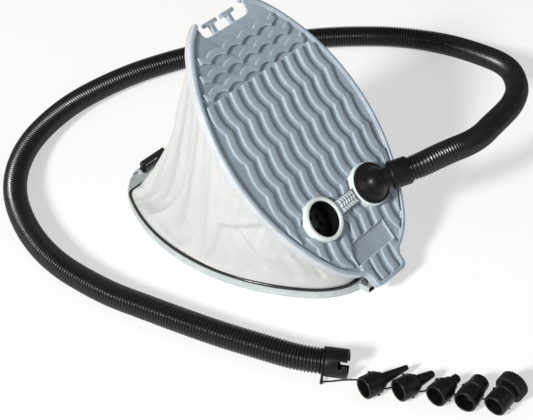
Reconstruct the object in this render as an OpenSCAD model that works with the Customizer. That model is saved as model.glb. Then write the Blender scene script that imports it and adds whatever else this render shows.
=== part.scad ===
// Foot air pump: two oval boards hinged at the front, a fabric air chamber and a return
// spring between them, two ports with flap valves, a hose on an elbow, and five nozzles on a cord.
// Millimetres. Origin at the centre of the base oval, on the floor. +Z up, hinge on the -Y side.

/* [Boards] */
// Half length of each oval board, along Y
half_len = 142.5; // [138:0.5:150]
// Half width of each oval board, along X
half_wid = 92.4; // [88:0.2:98]
// Height of the base board's outer wall
base_h = 7.5; // [6.5:0.5:8]
// Opening angle between the boards at rest
open_angle = 44.67; // [36:0.5:47]
// Depth of the top board's side wall
rim_h = 10; // [9:0.5:12]
// Depth of the tread grooves
groove = 2.9; // [1.1:0.2:2.9]
// Spacing of the lengthwise tread ribs
rib_pitch = 15.7; // [14:0.1:18]
// Width of each lengthwise tread rib
rib_w = 7.4; // [5:0.2:9]

/* [Ports] */
// Distance of each port from the centre line
port_x = 34; // [33.5:0.5:36]
// Distance of the ports in front of the board's centre
port_y = 73.5; // [68:0.5:76]
// Radius of the port bore
port_r = 17; // [16.8:0.1:17.2]
// Outer radius of the raised port collar
collar_r = 21; // [20.5:0.5:22]

/* [Spring] */
// Mean radius of the return spring's coil
coil_r = 30; // [26:1:34]
// Wire radius of the return spring
wire_r = 1.5; // [1:0.25:2]
// Number of turns
turns = 6.5; // [5:0.5:8]

/* [Hose] */
// Outer radius of the hose
hose_r = 11.8; // [11.4:0.1:11.8]
// Bore radius of the hose
hose_bore = 10; // [9.95:0.05:10.6]

/* [Nozzles] */
// Outer radius of the nozzle sockets
cup_r = 10.2; // [9.4:0.2:10.6]
// Turn of all the nozzles in their cord, for laying them out
nozzle_turn = 0; // [0:15:90]

/* [Hidden] */
$fn = 64;
run = 0.05;                 // running clearance on a radius

// boards
end_r = 69;                 // radius of the oval's end arcs
floor_z = 2.5;              // inside floor of the base board
plate_depth = 4.6;          // underside of the top plate, below the rim plane
lip_z = 29.4;               // rim plane of the top board when it is parallel to the base
top_y = -1.6;               // centre of the top board, closed

// hinge, its axis parallel to X
hinge_y = -146;
hinge_z = 13;
pin_r = 2.5;
pin_head_r = 3.8;
knuckle_r = 4.2;
knuckle_half = 9;           // half width of the top board's knuckle
lug_in = 9.2;               // the base's lugs reach from here
lug_out = 18;               // to here, on both sides
hinge_at = [0, hinge_y, hinge_z];
top_from_hinge = [0, top_y - hinge_y, lip_z - hinge_z];
knuckle_y = hinge_y - top_y;      // hinge axis in the top board's frame
knuckle_z = hinge_z - lip_z;

// air chamber
flat_far = 118;             // its flat end under the latch notch
flat_near = 137;            // its flat end beside the hinge
fab_t = 0.6;                // fabric thickness
band_w = 2.2;               // width of the base clamp band

// latch
latch_y = 135;
latch_z = 6.5;
latch_pin_r = 1.5;
ear_in = 17.5;              // the ears reach from here
ear_out = 20.5;             // to here, on both sides
notch_y = 127;              // start of the base's notch
hook_x = 11.6;              // distance of each hook from the centre line

// valves
valve_z = -16;              // underside of the valve seats, from the rim plane
pivot_y = 11.2;
pivot_r = 0.8;

// elbow and hose
slope = 35.6;               // the hose leaves the elbow at this angle above the board
sweep = -17.3;              // and is turned this much towards the hinge
elb_w = 10;                 // centre of the elbow above the rim plane
mouth_at = [-127.3, -180.7, 13.3];        // origin of the free end's frame
mouth_dir = [0.4736, -0.8807, 0];

// colours shared by several nodes
black = [0.07, 0.07, 0.08];
steel = [0.75, 0.76, 0.78];
seat_grey = [0.80, 0.83, 0.82];
flap_black = [0.1, 0.1, 0.11];
band_black = [0.05, 0.05, 0.06];

// ---- helpers
function unit(v) = v / norm(v);
function tilt(v) = [
  v[0],
  v[1] * cos(open_angle) - v[2] * sin(open_angle),
  v[1] * sin(open_angle) + v[2] * cos(open_angle)];

// a point of the top board (across, along, above the rim plane) in the object's frame
function onto(p) = hinge_at + tilt(p + top_from_hinge);

module on_top() {
  translate(hinge_at) rotate([open_angle, 0, 0]) translate(top_from_hinge) children();
}

// places a child on a port's axis, in the top board's frame
module at_port(side, z = 0) { translate([side * port_x, -port_y, z]) children(); }

module lift(z) { translate([0, 0, z]) children(); }
module disc(r, z, h) { lift(z) cylinder(r = r, h = h); }
module x_rod(r, x0, x1, y, z) {
  translate([x0, y, z]) rotate([0, 90, 0]) cylinder(r = r, h = x1 - x0);
}

// box centred across X
module mid_box(size, y, z) { translate([-size[0] / 2, y, z]) cube(size); }

// a pair of rods or boxes, from near to far on both sides of the centre line
module side_rods(r, near, far, y, z) {
  x_rod(r, near, far, y, z);
  x_rod(r, -far, -near, y, z);
}
module side_boxes(near, far, y, z, len_y, len_z) {
  for (x = [near, -far]) translate([x, y, z]) cube([far - near, len_y, len_z]);
}

// the boards' outline: two end arcs and two side arcs, moved in by inset
module oval(inset = 0) {
  side_r = (half_wid * half_wid + half_len * half_len - 2 * half_len * end_r)
    / (2 * (half_wid - end_r));
  side_x = side_r - half_wid;
  end_y = half_len - end_r;
  // the arcs meet where the line between their centres crosses them
  meet = unit([side_x, end_y]);
  for (s = [-1, 1]) translate([0, s * end_y]) circle(r = end_r - inset, $fn = 128);
  intersection() {
    translate([-side_x, 0]) circle(r = side_r - inset, $fn = 256);
    translate([side_x, 0]) circle(r = side_r - inset, $fn = 256);
    square([2 * half_wid + 10, 2 * (meet[1] * (side_r - inset))], center = true);
  }
}

// the air chamber's outline: the same oval with both ends cut flat
module chamber_oval(inset) {
  intersection() {
    oval(inset);
    translate([-half_wid - 5, -flat_near + inset])
      square([2 * half_wid + 10, flat_far + flat_near - 2 * inset]);
  }
}

// wall along the chamber's outline, between two insets and two heights
module ring(outer, inner, z0, z1) {
  difference() {
    lift(z0) linear_extrude(z1 - z0) chamber_oval(outer);
    lift(z0 - 1) linear_extrude(z1 - z0 + 2) chamber_oval(inner);
  }
}

// locating ring of the spring, hollow from cut_z over cut_h
module spring_ring(cut_z, cut_h) {
  difference() {
    cylinder(r = 27.6, h = 6);
    disc(25, cut_z, cut_h);
  }
}

// ---- tread
scallop_len = 32;
scallop_bow = 3.8;
scallop_start = 5.3;        // Y of a cusp
scallop_steps = 5;
function scallop(y) =
  let (along = y - scallop_start, s = along / scallop_len - floor(along / scallop_len))
  -scallop_bow * 4 * (s * (1 - s)) * (1.25 - 0.5 * s);

// X of a lengthwise rib's cusps
function rib_at(i) = -87.5 + i * rib_pitch;

// one scalloped rib along Y: arcs that bow to -X and meet in cusps
module long_rib(x, y0, y1) {
  step = scallop_len / scallop_steps;
  first = ceil((y0 - scallop_start) / step);
  last = floor((y1 - scallop_start) / step);
  ys = concat([y0], [for (i = [first:last]) scallop_start + i * step], [y1]);
  left = [for (y = ys) [x + scallop(y), y]];
  polygon(concat(left, [for (i = [len(ys) - 1:-1:0]) left[i] + [rib_w, 0]]));
}

// one rib along X, of count arcs that bow to +Y
module cross_rib(y, x0, count) {
  arc_len = 21.2;
  arc_bow = 3.6;
  width = 6.6;
  steps = 4;
  near = [for (i = [0:count * steps]) let (s = (i % steps) / steps)
    [x0 + i * arc_len / steps, y + 4 * arc_bow * s * (1 - s)]];
  polygon(concat(near, [for (i = [count * steps:-1:0]) near[i] + [0, width]]));
}

module tread() {
  // the rib nearest -X stops short
  for (i = [0:10]) long_rib(rib_at(i), -128, i == 0 ? 36.5 : 66.5);
  // ribs across the toes
  for (j = [0:4]) cross_rib(68.5 + 14.3 * j, j % 2 == 0 ? -84.8 : -74.2, j % 2 == 0 ? 8 : 7);
}

// ---- boards
// latch hooks: a stem that rises to the plate, and a cross bar
module hooks() {
  stem_t = 2.9;
  for (s = [-1, 1]) translate([s * hook_x, 0, -rim_h]) {
    mid_box([5, 13.4, 3.6], flat_far - stem_t, 0);
    mid_box([5, stem_t, 5.6], flat_far - stem_t, 0);
    mid_box([17.2, 4, 3.6], 127, 0);
  }
}

module hinge_tab() {
  corner_x = 15;
  shoulder_y = -148.5;
  difference() {
    lift(-8) linear_extrude(8) union() {
      translate([-corner_x, -154.5]) square([2 * corner_x, 30]);
      translate([-21, shoulder_y]) square([42, 22]);
      for (s = [-1, 1]) translate([s * corner_x, shoulder_y]) circle(r = 6);
    }
    lift(-9) linear_extrude(9 - 4.5) oval(3);
  }
}

module top_board() color([0.55, 0.60, 0.66]) on_top() {
  wall = 3;
  lip_w = 4.6;
  fence_z = -rim_h + 0.4;             // lower edge of the fence
  fence_h = rim_h - 4.4 - 0.4 + 0.4;  // height of the wall at the notch
  difference() {
    union() {
      // side wall and lip
      difference() {
        lift(-rim_h) linear_extrude(rim_h) oval();
        lift(-rim_h - 1) linear_extrude(rim_h + 1 - plate_depth) oval(wall);
        lift(-groove) linear_extrude(groove + 1) oval(lip_w);
      }
      // fence that holds the chamber's fabric
      ring(5.2, 7.6, fence_z, -4.4);
      lift(-groove - 0.1) linear_extrude(groove + 0.1) intersection() {
        oval(6.5);
        tread();
      }
      // port collars, and the tubes below them
      for (s = [-1, 1]) {
        at_port(s, -4) cylinder(r = collar_r, h = 8.5);
        at_port(s, -18) cylinder(r = port_r + 2.5, h = 15);
      }
      // block between the ports
      mid_box([29, 13.5, 6.6], -port_y - 6.75, -3);
      hinge_tab();
      hooks();
      // wall that closes the notch
      mid_box([66, 2.2, fence_h], flat_far - 10.5, fence_z);
      translate([0, hinge_y + spring_reach - top_y, -10]) spring_ring(-1, 6.4);
      // knuckle on the hinge pin
      x_rod(knuckle_r, -knuckle_half, knuckle_half, knuckle_y, knuckle_z);
      mid_box([2 * knuckle_half, 2 * knuckle_r, -knuckle_z - 7.8],
        knuckle_y - knuckle_r, knuckle_z);
    }
    // bores of the ports, with a ledge at the bottom
    for (s = [-1, 1]) {
      at_port(s, -14) cylinder(r = port_r, h = 30);
      at_port(s, -16) cylinder(r = port_r - 0.4, h = 10);
      at_port(s, -20) cylinder(r = port_r - 2, h = 20);
    }
    // label recess
    mid_box([53.4, 20.3, 8], -127.3, -groove - 0.7);
    // latch notch, which leaves the hooks
    difference() {
      mid_box([60, 40, rim_h + 3], 118, -rim_h - 1);
      hooks();
    }
    // field of the hinge tab, with the ends of the middle ribs left standing
    difference() {
      mid_box([35.2, 22.7, groove + 2], -150.8, -groove);
      lift(-groove - 1) linear_extrude(groove + 1) intersection() {
        translate([-17.2, -150.4]) square([34.4, 24]);
        union() for (i = [4:6]) long_rib(rib_at(i), -156, -120);
      }
    }
    x_rod(pin_r + run, -12, 12, knuckle_y, knuckle_z);
  }
}

module base_board() color([0.66, 0.70, 0.71]) {
  lug_y = hinge_y - knuckle_r;
  lug_z = 1.5;
  ear_r = 3;
  notch_z = 2.2;
  notch_half = 23;
  difference() {
    union() {
      difference() {
        union() {
          linear_extrude(3.4) oval();
          linear_extrude(base_h) oval(0.9);
        }
        lift(floor_z) linear_extrude(base_h) chamber_oval(5.4);
      }
      // fence that the fabric is clamped on
      ring(band_w + fab_t + 0.25, 5.5, floor_z, base_h + 3.4);
      translate([0, hinge_y + spring_reach, 2]) spring_ring(0.6, 6);
      // hinge lugs, their feet and the bar that joins them
      side_rods(knuckle_r, lug_in, lug_out, hinge_y, hinge_z);
      side_boxes(lug_in, lug_out, lug_y, lug_z, 6.9, hinge_z - lug_z);
      side_boxes(lug_in, lug_out, lug_y, lug_z, 14, 5);
      mid_box([2 * lug_out, 13, 4], lug_y, lug_z);
      // ears of the latch
      side_boxes(ear_in, ear_out, 129, 0.5, 9.5, 6);
      side_rods(ear_r, ear_in, ear_out, latch_y, latch_z);
      // stiffening ribs on the air chamber's floor
      for (x = [-60, 60]) translate([x, -60, 2]) cube([2, 120, 3]);
      for (y = [-80, 70]) translate([-59, y, 2]) cube([120, 2, 3]);
    }
    // latch notch, between, behind and outside the ears
    mid_box([2 * ear_in, 30, 20], notch_y, notch_z);
    mid_box([2 * notch_half, 20, 20], 139, notch_z);
    side_boxes(ear_out, notch_half, notch_y, notch_z, 30, 20);
    x_rod(latch_pin_r + run, -24, 24, latch_y, latch_z);
    x_rod(pin_r + run, -20, 20, hinge_y, hinge_z);
  }
}

// ---- hinge and latch
head_in = 18.15;            // the pin's head and clip reach from here
head_out = 19.6;            // to here, head on +X and clip on -X
pin_end = 20.4;

module hinge_pin() color(steel) {
  x_rod(pin_r, -pin_end, head_in, hinge_y, hinge_z);
  x_rod(pin_head_r, head_in, head_out, hinge_y, hinge_z);
}

// ring snapped on the pin's plain end
module hinge_clip() color(steel) difference() {
  x_rod(pin_head_r, -head_out, -head_in, hinge_y, hinge_z);
  x_rod(pin_r + 0.02, -21, -17, hinge_y, hinge_z);
}

module latch_pin() color(steel) x_rod(latch_pin_r, -pin_end, pin_end, latch_y, latch_z);

// rubber loop that is pulled over the hooks when the pump is folded
module latch_strap() color([0.08, 0.08, 0.09]) {
  leg_in = 11;
  leg_out = 16;
  translate([0, latch_y, latch_z]) rotate([12, 0, 0]) difference() {
    union() {
      side_rods(2.9, leg_in, leg_out, 0, 0);
      side_boxes(leg_in, leg_out, -1.7, 0, 3.4, 9);
      mid_box([2 * leg_out, 4.2, 4.2], -2.1, 6.5);
      x_rod(2.7, 3, leg_out, 0.4, 9.2);
    }
    x_rod(latch_pin_r + run, -20, 20, 0, 0);
  }
}

// ---- air chamber
base_hem = band_w + 0.1;    // inset of the fabric's outer face at the base
top_hem = 4.55;             // and at the top board
top_hem_z = -rim_h - 0.3;

module base_clamp_band() color(band_black) ring(0, band_w, base_h + 0.1, base_h + 3.2);
module top_clamp_band() color(band_black) on_top() ring(3.1, 4.5, -9.4, -6.4);

// solid between the two hems; inset in plan by inset, longer at both ends by extra
module chamber_solid(inset, extra) {
  hull() {
    lift(base_h + 3.6 - extra) linear_extrude(0.1) chamber_oval(base_hem + inset);
    on_top() lift(top_hem_z + extra) linear_extrude(0.1) chamber_oval(top_hem + inset);
  }
}

// flexible air chamber: fabric skin between the two clamped edges
module bellows() color([0.93, 0.93, 0.92]) {
  // hems inside the clamp bands
  ring(base_hem, base_hem + fab_t, base_h + 0.1, base_h + 3.7);
  on_top() ring(top_hem, top_hem + fab_t, top_hem_z, -6.2);
  difference() {
    chamber_solid(0, 0);
    chamber_solid(fab_t, 0.1);
  }
}

// ---- return spring: its axis is an arc about the hinge; its end turns lie flat on the boards
spring_reach = 140;         // from the hinge axis to the spring's axis
flat_turns = 0.9;           // turns that lie flat at each end

// a point of the wire's skin: turned by a round the coil and by q round the wire
function spring_pt(a, q) =
  let (
    rise = max(0, min(1, (a / 360 - flat_turns) / (turns - 2 * flat_turns))),
    start = max(0, min(1, a / 360 / flat_turns)),
    end = max(0, min(1, (turns - a / 360) / flat_turns)),
    skin_r = coil_r + wire_r * cos(q),
    reach = spring_reach + skin_r * cos(a),
    base_z = floor_z - hinge_z + wire_r + 0.1 + start * 2.1 * wire_r,
    top_z = lip_z - plate_depth - hinge_z - wire_r - 0.1 - end * 2.1 * wire_r,
    base_angle = asin(base_z / reach),
    top_angle = open_angle + asin(top_z / reach),
    angle = base_angle + rise * (top_angle - base_angle),
    h = wire_r * sin(q)
  ) [skin_r * sin(a),
     hinge_y + reach * cos(angle) - h * sin(angle),
     hinge_z + reach * sin(angle) + h * cos(angle)];

module return_spring() color([0.62, 0.64, 0.66]) {
  m = 6;                    // points round the wire
  step = 18;                // degrees between sections
  n = round(turns * 360 / step);
  polyhedron(
    points = [for (i = [0:n]) for (k = [0:m - 1]) spring_pt(i * step, k * 360 / m)],
    faces = concat(
      [[for (k = [0:m - 1]) k]],
      [for (i = [0:n - 1]) for (k = [0:m - 1]) each [
        [i * m + k, (i + 1) * m + k, (i + 1) * m + (k + 1) % m],
        [i * m + k, (i + 1) * m + (k + 1) % m, i * m + (k + 1) % m]]],
      [[for (k = [m - 1:-1:0]) n * m + k]]),
    convexity = 10);
}

// ---- valves: the pivot is above the seat if up, otherwise below it
function pivot_z(up) = up ? 3.1 : -1.1;

// perforated disc with two pivot posts
module valve_seat(up) {
  difference() {
    union() {
      cylinder(r = port_r - 0.5, h = 2);
      for (s = [-1, 1]) translate([s * 6 - 0.7, pivot_y - 1.3, up ? 1 : -2.1])
        cube([1.4, 2.6, 3.1]);
    }
    for (a = [30:60:330]) rotate([0, 0, a]) translate([7.4, 0, -3]) cylinder(r = 2.9, h = 8);
    x_rod(pivot_r + run, -8, 8, pivot_y, pivot_z(up));
  }
}

// leaf with trunnions on its edge
module valve_leaf(up) {
  z = up ? 2.06 : -1.06;
  difference() {
    disc(12.2, z, 1);
    mid_box([26, 5, 5], 8.8, z - 2);
  }
  mid_box([9.8, 4.2, 1], 7, z);
  x_rod(pivot_r, -6.9, 6.9, pivot_y, pivot_z(up));
}

module inlet_valve_seat() color(seat_grey) on_top() at_port(-1, valve_z) valve_seat(false);
module inlet_flap() color(flap_black) on_top() at_port(-1, valve_z) valve_leaf(false);
module outlet_valve_seat() color(seat_grey) on_top() at_port(1, valve_z) valve_seat(true);
module outlet_flap() color(flap_black) on_top() at_port(1, valve_z) valve_leaf(true);

// ---- elbow
// frame of the hose's exit, at the elbow's centre: +Z runs out along the hose
module on_exit() {
  on_top() at_port(1, elb_w) rotate([0, 0, sweep]) rotate([0, 90 - slope, 0]) children();
}
exit_dir = tilt([cos(slope) * cos(sweep), cos(slope) * sin(sweep), sin(slope)]);
elbow_at = onto([port_x, -port_y, elb_w]);

module hose_elbow() color(black) {
  dome_r = 13.2;
  bore_r = 9.8;
  difference() {
    union() {
      on_top() at_port(1) {
        disc(port_r - run, -5, 10);
        disc(port_r + 2.6, 4.55, 2.9);
        lift(7.4) cylinder(r1 = port_r + 0.5, r2 = 13, h = 4);
        lift(elb_w) intersection() {
          sphere(r = dome_r);
          translate([-20, -20, -5]) cube(40);
        }
      }
      on_exit() cylinder(r = 9.9, h = 27);
    }
    on_top() at_port(1, -6) cylinder(r = bore_r, h = elb_w + 6);
    on_top() at_port(1, -6) cylinder(r = port_r - 2.8, h = 11.5);
    on_top() at_port(1, elb_w) sphere(r = bore_r);
    on_exit() cylinder(r = 8, h = 30);
    // groove of the seal
    on_top() at_port(1, -2.6) difference() {
      cylinder(r = port_r + 1, h = 1.7);
      disc(port_r - 1.6, -1, 4);
    }
  }
}

module elbow_seal() color([0.03, 0.03, 0.03]) on_top() at_port(1, -1.75)
  rotate_extrude() translate([port_r - 0.8, 0]) circle(r = 0.74, $fn = 32);

module pump_end_cuff() color(black) on_exit() difference() {
  union() {
    disc(13.6, 15.5, 18);
    disc(13.9, 17.5, 2);
  }
  disc(hose_r + 0.1, 10, 30);
}

// ---- hose: a chain of circular arcs, two between each pair of these points
hose_pts = concat(
  [elbow_at + 18 * exit_dir, elbow_at + 34.5 * exit_dir],
  [
    [97, -147, 93], [140, -152, 87], [189, -144, 78], [244, -130, 66], [293, -105, 52],
    [335, -66, 38], [358, -17, 23], [362, 35, 14], [345, 80, 12], [313, 122, 12],
    [272, 161, 12], [163, 235, 12], [87, 260, 12], [0, 264, 12], [-72, 242, 12],
    [-117, 209, 12], [-153, 159, 12], [-174, 103, 12], [-178, 35, 12], [-168, -29, 12],
    [-149, -117, 12.6], [-132, -172, 13.3]
  ],
  [mouth_at + 9 * mouth_dir]);
hose_last = len(hose_pts) - 1;

function chord(i) = hose_pts[i + 1] - hose_pts[i];
function tangent(i) = i <= 1 ? exit_dir : i >= hose_last ? mouth_dir
  : unit(unit(chord(i - 1)) * norm(chord(i)) + unit(chord(i)) * norm(chord(i - 1)));

// distance along each end tangent that sets the joint of two arcs spanning v
function joint_reach(v, t0, t1) =
  let (sum = t0 + t1, k = 2 * (1 - t0 * t1))
  k < 1e-6 ? (v * v) / (4 * (v * t1))
  : (-(v * sum) + sqrt(pow(v * sum, 2) + k * (v * v))) / k;

// joint of the two arcs that leave p0 along t0 and reach p1 along t1
function joint(p0, p1, t0, t1) = (p0 + p1 + joint_reach(p1 - p0, t0, t1) * (t0 - t1)) / 2;

// arc from p along t to q: [centre, radius, angle, toward-centre, tangent];
// a straight one is [start, 0, length, toward-centre, tangent]
function arc(p, t, q) =
  let (
    c = q - p,
    offside = c - (c * t) * t,
    inward = norm(offside) < 1e-5 ? [0, 0, 0] : unit(offside)
  )
  norm(offside) < 0.02 ? [p, 0, norm(c), inward, t]
  : let (r = (c * c) / (2 * (inward * c)), angle = 2 * acos(min(1, (t * c) / norm(c))))
    [p + r * inward, r, angle, inward, t];

function hose_arcs() = [for (i = [0:hose_last - 1])
  let (
    p0 = hose_pts[i],
    p1 = hose_pts[i + 1],
    t0 = tangent(i),
    mid = joint(p0, p1, t0, tangent(i + 1)),
    half = unit(mid - p0),
    mid_t = unit(half * 2 * (half * t0) - t0)
  ) each [arc(p0, t0, mid), arc(mid, mid_t, p1)]];

// [point, direction] at a fraction of an arc
function along(a, fraction) =
  let (r = a[1], turned = a[2] * fraction, inward = a[3], t = a[4])
  r == 0 ? [a[0] + turned * t, t]
  : [a[0] + r * (sin(turned) * t - cos(turned) * inward), cos(turned) * t + sin(turned) * inward];

function hose_stations() =
  let (arcs = hose_arcs(), n = len(arcs))
  concat(
    [for (i = [0:2:n - 2])
      each [along(arcs[i], 0), along(arcs[i], 0.66), along(arcs[i + 1], 0.34)]],
    [along(arcs[n - 1], 1)]);

function hose_ring(station, r, m) =
  let (t = unit(station[1]), x = unit(cross([0, 0, 1], t)), y = cross(t, x))
  [for (k = [0:m - 1]) station[0] + r * (cos(k * 360 / m) * x + sin(k * 360 / m) * y)];

module hose() color([0.06, 0.06, 0.065]) {
  m = 12;                   // points round the hose
  stations = hose_stations();
  n = len(stations) - 1;
  o = (n + 1) * m;          // first point of the bore
  polyhedron(
    points = concat(
      [for (s = stations) each hose_ring(s, hose_r, m)],
      [for (s = stations) each hose_ring(s, hose_bore / cos(180 / m), m)]),
    faces = concat(
      // outer skin and bore
      [for (i = [0:n - 1]) for (k = [0:m - 1])
        let (k1 = (k + 1) % m, a = i * m, b = (i + 1) * m) each [
          [a + k, b + k, b + k1], [a + k, b + k1, a + k1],
          [o + a + k, o + b + k1, o + b + k], [o + a + k, o + a + k1, o + b + k1]]],
      // end faces
      [for (k = [0:m - 1]) let (k1 = (k + 1) % m, e = n * m) each [
        [k, k1, o + k1], [k, o + k1, o + k],
        [e + k, o + e + k1, e + k1], [e + k, o + e + k, o + e + k1]]]),
    convexity = 20);
}

// ---- free end of the hose; +Z runs out of the mouth
module on_mouth() {
  translate(mouth_at) rotate([0, 0, atan2(mouth_dir[1], mouth_dir[0])]) rotate([0, 90, 0])
    children();
}

module hose_end_cuff() color(black) on_mouth() difference() {
  disc(13.2, 3.4, 19.6);
  disc(hose_r + 0.2, 2, 8);
  disc(10.4, 9, 20);
  // bayonet slot: in from the mouth, then round
  for (a = [-128, 52]) rotate([0, 0, a]) {
    translate([8, -2.1, 15]) cube([8, 4.2, 10]);
    translate([8, -2.1, 14.6]) cube([8, 7.2, 4.2]);
  }
}

// ring round the hose that keeps the nozzles' cord in an eye
tether_z = 0.8;
tether_h = 2.4;
eye_drop = 11;              // the eye is this far below the hose's axis
eye_side = 14.5;            // and this far to its side

module tether_ring() color(black) on_mouth() difference() {
  union() {
    disc(13.2, tether_z, tether_h);
    translate([eye_drop, -eye_side, tether_z]) cylinder(r = 2.2, h = tether_h);
    // arm from the ring to the eye
    rotate([0, 0, -52.8]) translate([12.5, -1.4, tether_z]) cube([5, 2.8, tether_h]);
  }
  disc(hose_r + 0.3, -0.5, 5);
  translate([eye_drop, -eye_side, -0.5]) cylinder(r = 1.1, h = 5);
}

// ---- nozzles, each lying on its socket
// [centre of socket face, yaw, pitch down, distance to the neck, neck radius]
nozzles = [
  [[-129.6, -227, 10.25], -16.3, 0, 16.6, 6.3],
  [[-113.5, -251.4, 10.25], -16.1, 0, 16.6, 6.6],
  [[-99.2, -279.3, 10.25], -2.9, 0, 16.6, 6.4],
  [[-89.4, -302.6, 10.25], 7.1, 0, 16.6, 7.5],
  [[-77.9, -324.3, 10.25], -0.7, -7.5, 16, 7.6]];
function face_at(i) = nozzles[i][0];
function yaw(i) = nozzles[i][1];
function pitch(i) = nozzles[i][2];
function neck_dist(i) = nozzles[i][3];
function neck_r(i) = nozzles[i][4];

// frame of a nozzle: +Z runs from the socket's face to the tip
module lay(i) {
  translate(face_at(i)) rotate([0, 0, yaw(i)]) rotate([0, pitch(i), 0]) rotate([0, 90, 0])
    rotate([0, 0, nozzle_turn]) children();
}

module socket(i) {
  difference() {
    union() {
      cylinder(r = cup_r, h = 15);
      disc(neck_r(i), 14, 5);
      // bayonet pegs
      rotate([0, 0, 45]) for (s = [-1, 1])
        lift(11) rotate([s * 90, 0, 0]) cylinder(r = 1.4, h = cup_r + 1.2);
    }
    disc(cup_r - 2.1, -1, 13.5);
  }
}

tip_z = 18.4;               // start of the tip above the socket's face
bore_z = 10;                // start of the bore

// nozzle i with a conical tip that ends at height end_z
module tapered(i, r1, r2, end_z, bore) {
  difference() {
    union() {
      socket(i);
      lift(tip_z) cylinder(r1 = r1, r2 = r2, h = end_z - tip_z);
      disc(neck_r(i) + 0.9, tip_z, 1.4);
    }
    disc(bore, bore_z, end_z);
  }
}

module needle_nozzle() color(black) lay(0) tapered(0, 5.4, 2.3, 47, 1.1);
module cone_nozzle() color(black) lay(1) tapered(1, 5.8, 2.9, 38, 1.6);
module stepped_nozzle() color(black) lay(2) difference() {
  union() {
    tapered(2, 5.4, 3.9, 31, 2.4);
    disc(6.6, 19, 3.4);
  }
  disc(2.4, bore_z, 30);
}
module wide_nozzle() color(black) lay(3) difference() {
  union() {
    socket(3);
    lift(tip_z) cylinder(r1 = 8.9, r2 = 8.3, h = 11.6);
  }
  disc(6.2, bore_z, 30);
}

barrel_r = 8.2;             // the knurled collar turns on this barrel
module collar_nozzle() color(black) lay(4) difference() {
  union() {
    socket(4);
    disc(8.6, 17, 4.1);
    disc(barrel_r, 20, 12.4);
    disc(9.6, 32.25, 1.2);
  }
  disc(6, bore_z, 30);
}

// turning collar with a knurled rim
module knurled_collar() color(black) {
  // one knurl: [angle, radius]
  knurl = [[0, 13.3], [4, 13.3], [6, 12.5], [10, 12.5]];
  lay(4) difference() {
    lift(21.2) linear_extrude(11) polygon([for (i = [0:29]) for (p = knurl)
      p[1] * [cos(12 * i + p[0]), sin(12 * i + p[0])]]);
    disc(barrel_r + run, 20, 14);
    disc(10.6, 23.4, 14);
  }
}

// ---- cord
loop_gap = 1.6;             // from a neck to the centre of the cord's loop
join_angle = 35;            // the cord joins each loop this far below its sides

function neck_at(i) =
  let (d = neck_dist(i), level = d * cos(pitch(i)))
  face_at(i) + [level * cos(yaw(i)), level * sin(yaw(i)), -d * sin(pitch(i))];
function beside(i, side, reach) =
  neck_at(i) + side * reach * [cos(yaw(i) + 90), sin(yaw(i) + 90), 0];
function down(i) =
  [-sin(pitch(i)) * cos(yaw(i)), -sin(pitch(i)) * sin(yaw(i)), -cos(pitch(i))];

// where the cord joins a loop, and where it clears the socket before that
function join(i, side) =
  let (r = neck_r(i) + loop_gap)
  beside(i, side, r * cos(join_angle)) + r * sin(join_angle) * down(i);
function clear_at(i) = let (p = beside(i, 1, 12.2)) [p[0], p[1], 1.2];

module cord(p, q) {
  v = q - p;
  length = norm(v);
  translate(p) rotate([0, acos(v[2] / length), atan2(v[1], v[0])]) cylinder(r = 0.7, h = length);
}

// one cord from the eye past every neck, with a small bead where it turns up to each loop
module tether_cord() color([0.06, 0.06, 0.07]) {
  eye = mouth_at + (tether_z + tether_h / 2) * mouth_dir
    + eye_side * [mouth_dir[1], -mouth_dir[0], 0] - [0, 0, eye_drop];
  for (i = [0:4]) {
    lay(i) lift(neck_dist(i)) rotate_extrude()
      translate([neck_r(i) + loop_gap, 0]) circle(r = 0.8, $fn = 24);
    cord(i == 0 ? eye : join(i - 1, -1), clear_at(i));
    cord(clear_at(i), join(i, 1));
    translate(clear_at(i)) sphere(r = 0.9);
  }
  translate(eye) sphere(r = 1.05);
}

base_board();
top_board();
hinge_pin();
hinge_clip();
bellows();
base_clamp_band();
top_clamp_band();
return_spring();
latch_strap();
latch_pin();
inlet_valve_seat();
inlet_flap();
outlet_valve_seat();
outlet_flap();
hose_elbow();
elbow_seal();
pump_end_cuff();
hose();
hose_end_cuff();
tether_ring();
tether_cord();
needle_nozzle();
cone_nozzle();
stepped_nozzle();
wide_nozzle();
collar_nozzle();
knurled_collar();
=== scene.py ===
"""A foot pump: two oval boards on a hinge, held open by a spring inside a fabric air chamber.

The base lies on the floor (z = 0) with its length along Y. The hinge is at -Y and the latch at +Y.
The tread board rises from the hinge towards +Y. A hose leaves the tread on the +X side, runs round
the +Y end and comes back on the -X side to five nozzles on a cord. Sizes are in millimetres unless
noted; meshes are made in metres.
"""
import math
import random

import bpy
import bmesh
import numpy as np
from mathutils import Matrix, Vector


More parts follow.
